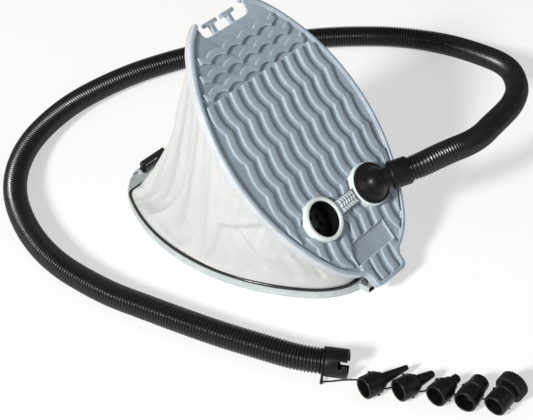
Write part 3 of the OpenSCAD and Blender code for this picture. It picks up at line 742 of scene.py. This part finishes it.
# stepped notch at the latch end
cut(base, rounded([(-17.5, 127), (17.5, 127), (17.5, 139), (23, 139), (23, 150), (-23, 150),
                   (-23, 139), (-17.5, 139)], [2, 2, 0.5, 0.5, 0, 0, 0.5, 0.5]), 2.2, 20, BASE)
near, far = HINGE_Y - KNUCKLE_R, HINGE_Y + KNUCKLE_R
for side in (-1, 1):
    # hinge lug: foot, upright and rounded top
    x0, x1 = sorted((side * 9.2, side * 18))
    add(base, box(x0, x1, near, -139, 0.3), 1.5, 6.5, BASE)
    add(base, box(near, far, 1.6, HINGE_Z), x0 + 0.001, x1 - 0.001, ACROSS)
    add(base, circle(KNUCKLE_R, 48, HINGE_Y, HINGE_Z), x0, x1, ACROSS)
    # ear that holds the latch pin
    ear = side * 19 - 1.5
    add(base, rounded([(129, 0.6), (138.4, 0.6), (138.4, 6.5), (137.6, 9.3), (132.4, 9.3),
                       (129, 6.5)], [0, 0, 2, 1.5, 1.5, 2], 5), ear, ear + 3, ACROSS)
cut(base, circle(PIN_R, 32, HINGE_Y, HINGE_Z), -30, 30, ACROSS)
cut(base, circle(LATCH_PIN_R, 32, LATCH_Y, LATCH_Z), -30, 30, ACROSS)
bevel(base, 0.4)
smooth(base, 30)
set_material(base, GREY)
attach(base, "base")
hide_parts("base_board")
o = lathe("base_spring_seat",
          rounded([(25, 2.3), (27.6, 2.3), (27.6, 8), (25, 8)], [0, 0, 0.6, 0.6], 3),
          move(0, HINGE_Y + SPRING_REACH, 0), GREY, 96)
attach(o, "base")


# ------------------------------------------------------------------ clamp bands
def resample(points, n):
    """n evenly spaced points round a closed line."""
    ring = np.vstack([points, points[:1]])
    length = np.r_[0, np.cumsum(np.hypot(*np.diff(ring, axis=0).T))]
    keep = np.r_[True, np.diff(length) > 1e-9]
    s = np.linspace(0, length[-1], n, endpoint=False)
    return np.c_[np.interp(s, length[keep], ring[keep, 0]),
                 np.interp(s, length[keep], ring[keep, 1])]


def chamber_ring(inset, n, passes):
    """The air chamber's outline, evenly spaced from the middle of its +Y end.

    It is the oval with its ends cut flat and the corners eased by smoothing passes.
    """
    low, high = CHAMBER_Y0 + inset, CHAMBER_Y1 - inset
    ring = np.array([(x, min(max(y, low), high)) for x, y in outline(inset, 120, 240)])
    first = np.argmin(np.abs(ring[:, 0]) + (ring[:, 1] < 0) * 1e3)
    ring = resample(np.roll(ring, -first, axis=0), 960)
    for _ in range(passes):
        ring = 0.5 * ring + 0.25 * (np.roll(ring, 1, 0) + np.roll(ring, -1, 0))
    return resample(ring, n)


section = rounded([(-1.15, -1.5), (1.15, -1.5), (1.15, 1.5), (-1.15, 1.5)], [0.7, 0.7, 1.0, 1.0])
o = sweep("base_clamp_cord", [(x, y, 9.2) for x, y in chamber_ring(1.15, 320, 36)], section,
          BAND, closed=True)
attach(o, "base")
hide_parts("base_clamp_band")

section = rounded([(-0.7, -1.4), (0.7, -1.4), (0.7, 1.4), (-0.7, 1.4)], 0.4, 3)
path = [TREAD @ Vector((x, y, -7.9)) for x, y in chamber_ring(3.85, 320, 36)]
o = sweep("tread_clamp_cord", path, section, BAND, up=(0, -SIN, COS), closed=True)
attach(o, "tread")
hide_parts("top_clamp_band")

# ------------------------------------------------------------------ fabric of the air chamber
AROUND, UP = 240, 44                   # mesh steps round the chamber and up its wall
TUCK = 2                               # extra rows held in each board
FABRIC_LOW, FABRIC_HIGH = 11.0, -10.2  # wall's ends: z in the base frame, z in the tread frame
base_ring = chamber_ring(2.65, AROUND, 60)
tread_ring = chamber_ring(4.9, AROUND, 60)
verts = []
for k in range(-TUCK, UP + TUCK + 1):
    s = clamp(k / UP)
    for (bx, by), (tx, ty) in zip(base_ring, tread_ring):
        low = Vector((bx, by, FABRIC_LOW))
        high = TREAD @ Vector((tx, ty, FABRIC_HIGH))
        if k < 0:
            p = low + Vector((0, 0, 1.55 * k))
        elif k > UP:
            p = TREAD @ Vector((tx, ty, FABRIC_HIGH + 1.7 * (k - UP)))
        else:
            # the wall draws in level towards the middle, in proportion to its height
            p = low.lerp(high, s)
            inward = (Vector((0, p.y * 0.55, p.z)) - p).normalized()
            height = (high - low).length
            p = p + inward * (height * 0.028 * math.sin(math.pi * s ** 0.85))
        verts.append(p)
rows = UP + 2 * TUCK + 1
cloth = solid("air_chamber_fabric", verts, skin(rows, AROUND), BASE, FABRIC, 180)
pinned = [i for i in range(rows * AROUND) if i // AROUND <= TUCK or i // AROUND >= rows - 1 - TUCK]
cloth.vertex_groups.new(name="pin").add(pinned, 1.0, 'REPLACE')


def settle(o):
    """Lets the pinned cloth shrink and sag, moving no point more than 9 mm."""
    rest = points_of(o)
    mod = o.modifiers.new("cloth", 'CLOTH')
    cs = mod.settings
    cs.quality = 6
    cs.mass = 0.25
    cs.tension_stiffness = 12
    cs.compression_stiffness = 12
    cs.shear_stiffness = 6
    cs.bending_stiffness = 0.6
    cs.air_damping = 4
    cs.vertex_group_mass = "pin"
    cs.shrink_min = -0.022
    cs.use_pressure = True
    cs.uniform_pressure_force = -0.35
    mod.collision_settings.use_collision = False
    mod.collision_settings.use_self_collision = False
    cs.effector_weights.gravity = 0.25
    mod.point_cache.frame_start, mod.point_cache.frame_end = 1, 30
    scene = bpy.context.scene
    for f in range(1, 27):
        scene.frame_set(f)
    apply_mods(o)
    scene.frame_set(1)
    shift = points_of(o) - rest
    length = np.linalg.norm(shift, axis=1, keepdims=True)
    shift *= np.minimum(1, 0.009 / np.maximum(length, 1e-9))
    set_points(o, rest + shift)


settle(cloth)

# Creases pressed into the -X side: start y, z, end y, z, width, depth (positive is inward),
# and 1 for a sharp crease with a slack patch under it or 0 for a soft fold
CREASES = [
    (-36, 65, -80, 84, 1.4, 3.6, 1), (-36, 105, -31, 34, 3.0, 1.0, 0),
    (-53, 64, -76, 34, 3.2, 2.3, 0), (-60, 66, -84, 46, 3.0, -1.6, 0),
    (-44, 50, -60, 26, 4.0, 1.3, 0), (-87, 69, -104, 27, 3.4, 1.9, 0),
    (-94, 66, -110, 38, 3.0, -1.4, 0), (-118, 42, -122, 30, 2.0, 2.2, 0)]


def about_hinge(points):
    """Distance from the hinge axis in millimetres, and angle above the base."""
    y, z = points[:, 1] * 1000 - HINGE_Y, points[:, 2] * 1000 - HINGE_Z
    return np.maximum(np.hypot(y, z), 1e-3), np.arctan2(z, y)


def press_creases(o):
    co = points_of(o)
    normals = np.zeros(len(co) * 3)
    o.data.vertices.foreach_get("normal", normals)
    normals = normals.reshape(-1, 3)
    if (normals[:, 0] * co[:, 0]).sum() < 0:   # make them point out of the chamber
        normals = -normals
    press = np.zeros(len(co))
    for y0, z0, y1, z1, width, depth, sharp in CREASES:
        length = math.hypot(y1 - y0, z1 - z0)
        ey, ez = (y1 - y0) / length, (z1 - z0) / length
        dy, dz = co[:, 1] * 1000 - y0, co[:, 2] * 1000 - z0
        along, off = dy * ey + dz * ez, dy * ez - dz * ey
        fade = np.clip(np.minimum(along, length - along) / 7 + 1, 0, 1)
        fade = fade * fade * (3 - 2 * fade)
        if sharp:
            up = off if ey < 0 else -off
            step = 1 + np.exp(np.clip(up / width * 2.2, -30, 30))
            below = np.exp(-np.clip(-up, 0, None) / 13.0) / step
            above = -0.35 * np.exp(-((up - 2.5) / 5.0) ** 2)
            press += depth * fade * (below + above)
        else:
            ridge = np.exp(-((off - 1.9 * width) / width) ** 2)
            press += depth * fade * (np.exp(-(off / width) ** 2) - 0.45 * ridge)
    # creases fade out near either board
    radius, angle = about_hinge(co)
    under_tread = radius * np.sin(np.clip(OPENING - angle, 0, 1.5)) + FABRIC_HIGH - HINGE_W
    room = np.minimum(co[:, 2] * 1000 - 12.0, under_tread)
    press *= np.clip(room / 9.0, 0, 1) * (co[:, 0] < 0)
    set_points(o, co - normals * (press * MM)[:, None])


press_creases(cloth)
mod = cloth.modifiers.new("subdivide", 'SUBSURF')
mod.levels = mod.render_levels = 1
mod = cloth.modifiers.new("thicken", 'SOLIDIFY')
mod.thickness = 0.0005
mod.offset = -1
apply_mods(cloth)
smooth(cloth, 60)

# each point's share of the way round the hinge, from 0 on the base to 1 on the tread board
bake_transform(cloth)
radius, angle = about_hinge(points_of(cloth))
start = np.arcsin(np.clip((FABRIC_LOW - HINGE_Z) / radius, -1, 1))
end = OPENING + np.arcsin(np.clip((FABRIC_HIGH - HINGE_W) / radius, -1, 1))
set_share(cloth, np.clip((angle - start) / np.maximum(end - start, 1e-3), 0, 1))
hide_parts("bellows")

# ------------------------------------------------------------------ return spring
COIL_R, WIRE_R, TURNS = 30.0, 1.5, 6.5
END_TURNS = 0.9                          # turns that lie on each board
WIRE_GAP = 0.1
steps, sides = int(TURNS * 40), 10
verts, share = [], []
for i in range(steps + 1):
    turn = TURNS * i / steps
    climb = clamp((turn - END_TURNS) / (TURNS - 2 * END_TURNS))
    lift_low = clamp(turn / END_TURNS)
    lift_high = clamp((TURNS - turn) / END_TURNS)
    low = BASE_FLOOR - HINGE_Z + WIRE_R + WIRE_GAP + lift_low * 2.1 * WIRE_R
    high = TREAD_UNDER - HINGE_W - WIRE_R - WIRE_GAP - lift_high * 2.1 * WIRE_R
    a = 2 * math.pi * turn
    for k in range(sides):
        q = 2 * math.pi * k / sides
        r, h = COIL_R + WIRE_R * math.cos(q), WIRE_R * math.sin(q)
        reach = SPRING_REACH + r * math.cos(a)
        # the coil fans round the hinge from the base's angle to the tread's
        f0, f1 = math.asin(low / reach), OPENING + math.asin(high / reach)
        f = f0 + climb * (f1 - f0)
        verts.append((r * math.sin(a) * MM,
                      (HINGE_Y + reach * math.cos(f) - h * math.sin(f)) * MM,
                      (HINGE_Z + reach * math.sin(f) + h * math.cos(f)) * MM))
        share.append(climb)
faces = skin(steps + 1, sides, flip=True) + caps(steps + 1, sides, flip=True)
me = D.meshes.new("return_spring_coil")
me.from_pydata(verts, [], faces)
coil = link(D.objects.new("return_spring_coil", me))
smooth(coil, 50)
me.materials.append(SPRING)
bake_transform(coil)
set_share(coil, share)
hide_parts("return_spring")

# ------------------------------------------------------------------ path of the hose
# A chain of arcs, two between each pair of stations
elbow_at = TREAD @ Vector((PORT_X, PORT_Y, ELBOW_Z))
elbow_dir = (ELBOW.to_3x3() @ Vector((0, 0, 1))).normalized()
STATIONS = [   # x, y, z
    (97, -147, 93), (140, -152, 87), (189, -144, 78), (244, -130, 66), (293, -105, 52),
    (335, -66, 38), (358, -17, 23), (362, 35, 14), (345, 80, 12), (313, 122, 12),
    (272, 161, 12), (163, 235, 12), (87, 260, 12), (0, 264, 12), (-72, 242, 12),
    (-117, 209, 12), (-153, 159, 12), (-174, 103, 12), (-178, 35, 12), (-168, -29, 12),
    (-149, -117, 12.6), (-132, -172, 13.3)]
stations = [elbow_at + 18 * elbow_dir, elbow_at + 34.5 * elbow_dir,
            *map(Vector, STATIONS), MOUTH_AT + 9 * MOUTH_DIR]


def heading(i):
    """Direction of the hose at station i."""
    if i <= 1:
        return elbow_dir
    if i >= len(stations) - 1:
        return MOUTH_DIR
    a, b = stations[i] - stations[i - 1], stations[i + 1] - stations[i]
    return (a.normalized() * b.length + b.normalized() * a.length).normalized()


def arc_between(p, along, q):
    """Arc from p to q as centre, radius, angle, normal, tangent; a straight run has radius 0."""
    chord = q - p
    aside = chord - chord.dot(along) * along
    if aside.length < 0.02:
        return p, 0, chord.length, None, along
    normal = aside.normalized()
    r = chord.dot(chord) / (2 * normal.dot(chord))
    angle = 2 * math.acos(min(1, along.dot(chord) / chord.length))
    return p + r * normal, r, angle, normal, along


arcs = []
for i in range(len(stations) - 1):
    p0, p1, t0, t1 = stations[i], stations[i + 1], heading(i), heading(i + 1)
    v, t_sum = p1 - p0, t0 + t1
    k = 2 * (1 - t0.dot(t1))
    if k < 1e-6:
        d = v.dot(v) / (4 * v.dot(t1))
    else:
        d = (-v.dot(t_sum) + math.sqrt(v.dot(t_sum) ** 2 + k * v.dot(v))) / k
    joint = (p0 + p1 + d * (t0 - t1)) / 2
    to_joint = (joint - p0).normalized()
    joint_dir = (to_joint * 2 * to_joint.dot(t0) - t0).normalized()
    arcs += [arc_between(p0, t0, joint), arc_between(joint, joint_dir, p1)]
arc_starts = np.r_[0, np.cumsum([a[2] if a[1] == 0 else a[1] * a[2] for a in arcs])]
HOSE_LENGTH = arc_starts[-1]


def hose_at(s):
    """Point and direction at distance s along the hose."""
    s = min(s, HOSE_LENGTH - 1e-6)
    i = int(np.searchsorted(arc_starts, s, side='right') - 1)
    centre, r, _, normal, along = arcs[i]
    run = s - arc_starts[i]
    if r == 0:
        return centre + along * run, along
    q = run / r
    return (centre + r * (math.sin(q) * along - math.cos(q) * normal),
            (math.cos(q) * along + math.sin(q) * normal).normalized())


# ------------------------------------------------------------------ hose
PITCH = 3.05                           # of the corrugations
HOSE_BORE_R, PLAIN_R = 10.0, 11.75
PLAIN_START, PLAIN_END = 16, 8.2       # lengths without corrugations
HOSE_SIDES, PER_PITCH, BORE_EVERY = 24, 8, 6


def hose_radius(s):
    """Outer radius at distance s: rounded crests over narrower valleys."""
    if s < PLAIN_START or s > HOSE_LENGTH - PLAIN_END:
        return PLAIN_R
    crest = 0.5 - 0.5 * math.cos(2 * math.pi * ((s / PITCH) % 1.0))
    return 10.35 + 1.45 * crest ** 0.8


def hose_piece(name, s0, s1, share_at):
    """A length of hose and the blend share of each of its vertices."""
    n, count = HOSE_SIDES, int(round((s1 - s0) / PITCH * PER_PITCH))
    outer = [s0 + (s1 - s0) * i / count for i in range(count + 1)]
    inner = outer[::BORE_EVERY]
    if inner[-1] != outer[-1]:
        inner.append(outer[-1])
    verts, share = [], []
    for s, r in [(s, hose_radius(s)) for s in outer] + [(s, HOSE_BORE_R) for s in inner]:
        p, along = hose_at(s)
        x = Vector((0, 0, 1)).cross(along).normalized()
        y = along.cross(x)
        verts += [p + x * u + y * v for u, v in circle(r, n)]
        share += [share_at(s)] * n
    bore = len(outer) * n
    faces = skin(len(outer), n) + skin(len(inner), n, flip=True, start=bore)
    # rims that join the outside to the bore
    a, b = bore - n, bore + (len(inner) - 1) * n
    for k in range(n):
        l = (k + 1) % n
        faces += [(k, bore + k, bore + l, l), (a + k, a + l, b + l, b + k)]
    return solid(name, verts, faces, BASE, HOSE, 50), share


def ease(x):
    x = clamp(x)
    return x * x * (3 - 2 * x)


SPLIT = round(150 / PITCH) * PITCH
hose_top, share = hose_piece("hose_at_elbow", 0, SPLIT, lambda s: 1 - ease((s - 18) / (SPLIT - 26)))
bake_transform(hose_top)
set_share(hose_top, share)
hose_run, share = hose_piece("hose_run", SPLIT, HOSE_LENGTH,
                             lambda s: 1 - ease((s - SPLIT - 8) / 205))
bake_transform(hose_run)
set_share(hose_run, share)
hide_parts("hose")

# ------------------------------------------------------------------ hose ends
CUFF_BORE = 11.9
profile = rounded([(CUFF_BORE, 15.5), (13.4, 15.5), (13.9, 16.6), (13.9, 19.2), (13.3, 20.0),
                   (13.3, 32.6), (12.7, 33.5), (CUFF_BORE, 33.5)],
                  [0.3, 0.5, 0.5, 0.5, 0.5, 0.6, 0.4, 0.2])
o = lathe("elbow_cuff", profile, ELBOW, BLACK, 72)
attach(o, "elbow")
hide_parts("pump_end_cuff")

profile = rounded([(CUFF_BORE, 3.4), (12.6, 3.4), (13.2, 4.1), (13.2, 22.2), (12.6, 23),
                   (10.4, 23), (10.4, 10), (CUFF_BORE, 10)],
                  [0.2, 0.4, 0.4, 0.5, 0.5, 0.5, 0, 0])
o = lathe("mouth_cuff", profile, MOUTH, BLACK, 96)
# two L-shaped slots for the nozzles' pegs
slot = rounded([(-2.1, 26), (-2.1, 14.6), (5.1, 14.6), (5.1, 18.8), (2.1, 18.8), (2.1, 26)],
               [0, 1.6, 1.8, 1.8, 0.5, 0], 5)
for turn in (-128, 52):
    cut(o, slot, 8, 16, MOUTH @ spin(turn, 'Z') @ ACROSS)
bevel(o, 0.3, 45)
smooth(o)
set_material(o, BLACK)
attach(o, "base")
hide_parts("hose_end_cuff")

# ring behind the cuff, with a tag out to a small eye for the cord
EYE_X, EYE_Y = 11, -14.5
ring = lathe("ring", rounded([(CUFF_BORE, 0.8), (13.2, 0.8), (13.2, 3.2), (CUFF_BORE, 3.2)],
                             [0.3, 0.8, 0.8, 0.3], 3), MOUTH, BLACK, 72)
eye = lathe("eye", rounded([(1.1, 0.8), (2.2, 0.8), (2.2, 3.2), (1.1, 3.2)], 0.4, 3),
            MOUTH @ move(EYE_X, EYE_Y, 0), BLACK, 32)
tag = prism("tag", box(12.6, 16.7, -1.4, 1.4, 0.3), 0.9, 3.1, MOUTH @ spin(-52.8, 'Z'), BLACK)
o = join("cord_ring", [ring, eye, tag])
smooth(o, 35)
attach(o, "base")
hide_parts("tether_ring")

# ------------------------------------------------------------------ nozzles
SOCKET_R, SOCKET_BORE = 10.2, 10.2 - 2.1
# x, y, z of the socket's open end; heading and tilt in degrees; the cord loop's place along
# the nozzle; neck radius
LAID = [
    (-129.6, -227, 10.25, -16.3, 0, 16.6, 6.3), (-113.5, -251.4, 10.25, -16.1, 0, 16.6, 6.6),
    (-99.2, -279.3, 10.25, -2.9, 0, 16.6, 6.4), (-89.4, -302.6, 10.25, 7.1, 0, 16.6, 7.5),
    (-77.9, -324.3, 10.25, -0.7, -7.5, 16, 7.6)]
LAY = [move(x, y, z) @ spin(heading_deg, 'Z') @ spin(tilt, 'Y') @ spin(90, 'Y')
       for x, y, z, heading_deg, tilt, _, _ in LAID]
# name, CAD part, bore radius, then (radius, z) from the neck to the tip
NOZZLES = [
    ("nozzle_needle", "needle_nozzle", 1.1,
     [(6.3, 15.0), (6.3, 18.4), (7.2, 18.4), (7.2, 19.8), (5.4, 19.8), (5.1, 24), (3.1, 40),
      (2.5, 46), (2.3, 47)]),
    ("nozzle_cone", "cone_nozzle", 1.6,
     [(6.6, 15.0), (6.6, 18.4), (7.5, 18.4), (7.5, 19.8), (5.8, 19.8), (5.3, 24), (3.5, 36),
      (2.9, 38)]),
    ("nozzle_stepped", "stepped_nozzle", 2.4,
     [(6.4, 15.0), (6.4, 18.4), (7.3, 18.4), (7.3, 19.8), (6.6, 19.8), (6.6, 22.4), (5.2, 23.0),
      (4.6, 25.5), (4.2, 30), (3.9, 31)]),
    ("nozzle_wide", "wide_nozzle", 6.2,
     [(7.5, 15.0), (7.5, 18.4), (8.9, 18.4), (8.9, 20.4), (8.6, 21), (8.3, 29.6), (7.9, 30)]),
    ("nozzle_collared", "collar_nozzle", 6.0,
     [(7.6, 15.0), (7.6, 17.0), (8.6, 17.0), (8.6, 21.1), (8.2, 21.1), (8.2, 32.25),
      (9.6, 32.25), (9.6, 33.45)])]

for i, (name, part, bore, outer) in enumerate(NOZZLES):
    profile = ([(SOCKET_BORE, 0.0), (SOCKET_R, 0.0), (SOCKET_R, 15.0)] + outer
               + [(bore, outer[-1][1]), (bore, 12.5), (SOCKET_BORE, 12.5)])
    radii = [0.5, 0.9, 1.0] + [0.45] * (len(outer) - 1) + [0.6, 0.3, 0.3, 0.5]
    pieces = [lathe("body", rounded(profile, radii), LAY[i], BLACK, 72, 30)]
    for side in (-1, 1):
        place = LAY[i] @ spin(45, 'Z') @ move(0, 0, 11) @ spin(side * 90, 'X')
        peg = prism("peg", circle(1.35, 20), SOCKET_R - 0.6, SOCKET_R + 1.15, place, BLACK)
        bevel(peg, 0.35)
        pieces.append(peg)
    o = join(name, pieces)
    smooth(o)
    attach(o, "nozzle_%d" % (i + 1))
    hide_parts(part)


def knurl(r, a):
    """Thirty shallow flutes cut into the widest part of the ring."""
    return r if r < 12 else r - 0.75 * (0.5 - 0.5 * math.cos(30 * a)) ** 1.6


profile = rounded([(8.25, 21.2), (12.6, 21.2), (13.3, 21.9), (13.3, 31.5), (12.6, 32.2),
                   (10.6, 32.2), (10.6, 23.4), (8.25, 23.4)],
                  [0.2, 0.3, 0.4, 0.4, 0.3, 0.4, 0.2, 0.2], 3)
o = lathe("knurled_ring", profile, LAY[4], BLACK, 240, 40, knurl)
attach(o, "nozzle_5_collar")
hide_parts("knurled_collar")

# ------------------------------------------------------------------ nozzle cord
CORD_R = 0.8
LOOP_GAP = 1.6           # from a neck's surface to the middle of the cord
cord_section = circle(CORD_R, 10)
parts = []
for place, (*_, along, neck_r) in zip(LAY, LAID):
    r = neck_r + LOOP_GAP
    turns = np.linspace(0, 2 * math.pi, 48, endpoint=False)
    loop = [place @ Vector((r * math.cos(t), r * math.sin(t), along)) for t in turns]
    parts.append(sweep("loop", loop, cord_section, RUBBER,
                       up=place.to_3x3() @ Vector((0, 0, 1)), closed=True))


def neck(i):
    return LAY[i] @ Vector((0, 0, LAID[i][5]))


def loop_side(i, side):
    """Where a run of cord meets the loop of nozzle i, low on one side."""
    r, a, turn = LAID[i][6] + LOOP_GAP, RAD(35), LAY[i].to_3x3()
    return (neck(i) + side * r * math.cos(a) * (turn @ Vector((0, 1, 0)))
            + r * math.sin(a) * (turn @ Vector((1, 0, 0))))


def beside(i):
    """A point near the floor, clear of nozzle i, that its run of cord bends at."""
    a = RAD(LAID[i][3] + 90)
    p = neck(i) + 12.2 * Vector((math.cos(a), math.sin(a), 0))
    return Vector((p.x, p.y, 1.2))


eye_at = MOUTH @ Vector((EYE_X, EYE_Y, 2.0))
for i in range(5):
    p = eye_at if i == 0 else loop_side(i - 1, -1)
    m, q = beside(i), loop_side(i, 1)
    path = [p.lerp(m, k / 14) for k in range(13)]
    for k, point in enumerate(path):
        s = k / 14
        sag = 1.6 if i == 0 else 0.9
        point.z = max(0.85, point.z - sag * 4 * s * (1 - s))
        if i == 0:
            # the first run bows sideways
            point += Vector((0.9, 0.45, 0)) * (2.6 * math.sin(math.pi * s))
    path += [p.lerp(m, 0.93).lerp(m.lerp(q, 0.12), k / 4) for k in range(1, 4)]
    path += [m.lerp(q, 0.12 + 0.88 * k / 6) for k in range(7)]
    parts.append(sweep("run", path, cord_section, RUBBER))

# knot at the eye
bm = bmesh.new()
bmesh.ops.create_uvsphere(bm, u_segments=16, v_segments=10, radius=1.2 * MM,
                          matrix=Matrix.Translation(eye_at * MM))
me = D.meshes.new("knot")
bm.to_mesh(me)
bm.free()
me.materials.append(RUBBER)
parts.append(link(D.objects.new("knot", me)))
o = join("nozzle_cord", parts)
smooth(o, 60)
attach(o, "base")
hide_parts("tether_cord")

# ------------------------------------------------------------------ latch strap
LATCH = move(0, LATCH_Y, LATCH_Z) @ spin(12, 'X') @ ACROSS
bar = rounded([(-2.1, 6.5), (2.1, 6.5), (2.6, 8.6), (2.1, 11.2), (0.4, 11.9), (-2.1, 10.7)],
              [0.5, 0.5, 1, 1.2, 1, 0.6])
o = prism("latch_loop", bar, -16, 16, LATCH, RUBBER)
for side in (-1, 1):
    x0, x1 = sorted((side * 11, side * 16))
    add(o, box(-1.7, 1.7, 0, 9), x0 + 0.01, x1 - 0.01, LATCH)
    add(o, circle(2.9, 32), x0, x1, LATCH)
cut(o, circle(LATCH_PIN_R, 24), -20, 20, LATCH)
bevel(o, 0.4)
smooth(o, 35)
set_material(o, RUBBER)
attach(o, "latch")
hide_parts("latch_strap")

# ------------------------------------------------------------------ CAD parts that stay
for name, mat in (("hose_elbow", BLACK), ("elbow_seal", RUBBER), ("hinge_pin", STEEL),
                  ("hinge_clip", STEEL), ("latch_pin", STEEL), ("inlet_valve_seat", VALVE),
                  ("outlet_valve_seat", VALVE), ("inlet_flap", RUBBER), ("outlet_flap", RUBBER)):
    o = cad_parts[name]
    if len(o.material_slots) == 0:
        o.data.materials.append(mat)
    for slot in o.material_slots:
        slot.link = 'OBJECT'
        slot.material = mat

# ------------------------------------------------------------------ floor, lights, camera (metres)
bm = bmesh.new()
bmesh.ops.create_grid(bm, x_segments=2, y_segments=2, size=6.0)
me = D.meshes.new("floor")
bm.to_mesh(me)
bm.free()
floor = link(D.objects.new("floor", me))
floor.location = (0, 0, -0.0003)
sh = Shader("floor_paper")
paper = sh.noise(sh.coords(), scale=3, detail=2)
sh.set({"Base Color": sh.ramp(paper, 0.3, (0.44, 0.44, 0.44), 0.7, (0.46, 0.46, 0.46)),
        "Emission Color": (1, 1, 1, 1), "Emission Strength": 0.55, "Roughness": 0.9})
me.materials.append(sh.mat)
floor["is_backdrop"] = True

scene = bpy.context.scene
scene.world = D.worlds.new("studio")
scene.world.use_nodes = True
sky = scene.world.node_tree.nodes["Background"].inputs
sky["Color"].default_value = (0.98, 0.99, 1.0, 1)
sky["Strength"].default_value = 0.22


def point_along(o, direction):
    o.rotation_mode = 'QUATERNION'
    o.rotation_quaternion = direction.to_track_quat('-Z', 'Y')


def area(name, at, target, size, power, color=(1, 1, 1)):
    light = D.lights.new(name, 'AREA')
    light.energy, light.size, light.color = power, size, color
    o = link(D.objects.new(name, light))
    o.location = at
    point_along(o, Vector(target) - Vector(at))


area("key", at=(-4.30, -0.25, 2.62), target=(0, 0, 0.1), size=0.75, power=345,
     color=(1.0, 0.985, 0.965))
area("fill", at=(1.2, -2.6, 1.7), target=(0, 0, 0.05), size=1.6, power=7)

AIM = Vector((-24.287, -34.31, 44.425)) * MM
DISTANCE = 1.55370
AZIMUTH, ELEVATION = RAD(-50.6092), RAD(37.4899)
cam = D.cameras.new("camera")
cam.sensor_fit = 'HORIZONTAL'
cam.sensor_width = 36.0
cam.lens = 112.738762
cam.clip_start, cam.clip_end = 0.05, 50
camera = link(D.objects.new("camera", cam))
back = Vector((math.sin(AZIMUTH) * math.cos(ELEVATION),
               -math.cos(AZIMUTH) * math.cos(ELEVATION), math.sin(ELEVATION)))
camera.location = AIM + back * DISTANCE
point_along(camera, -back)
scene.camera = camera
scene.view_settings.view_transform = 'Standard'
scene.view_settings.exposure = 0.0

low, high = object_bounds()
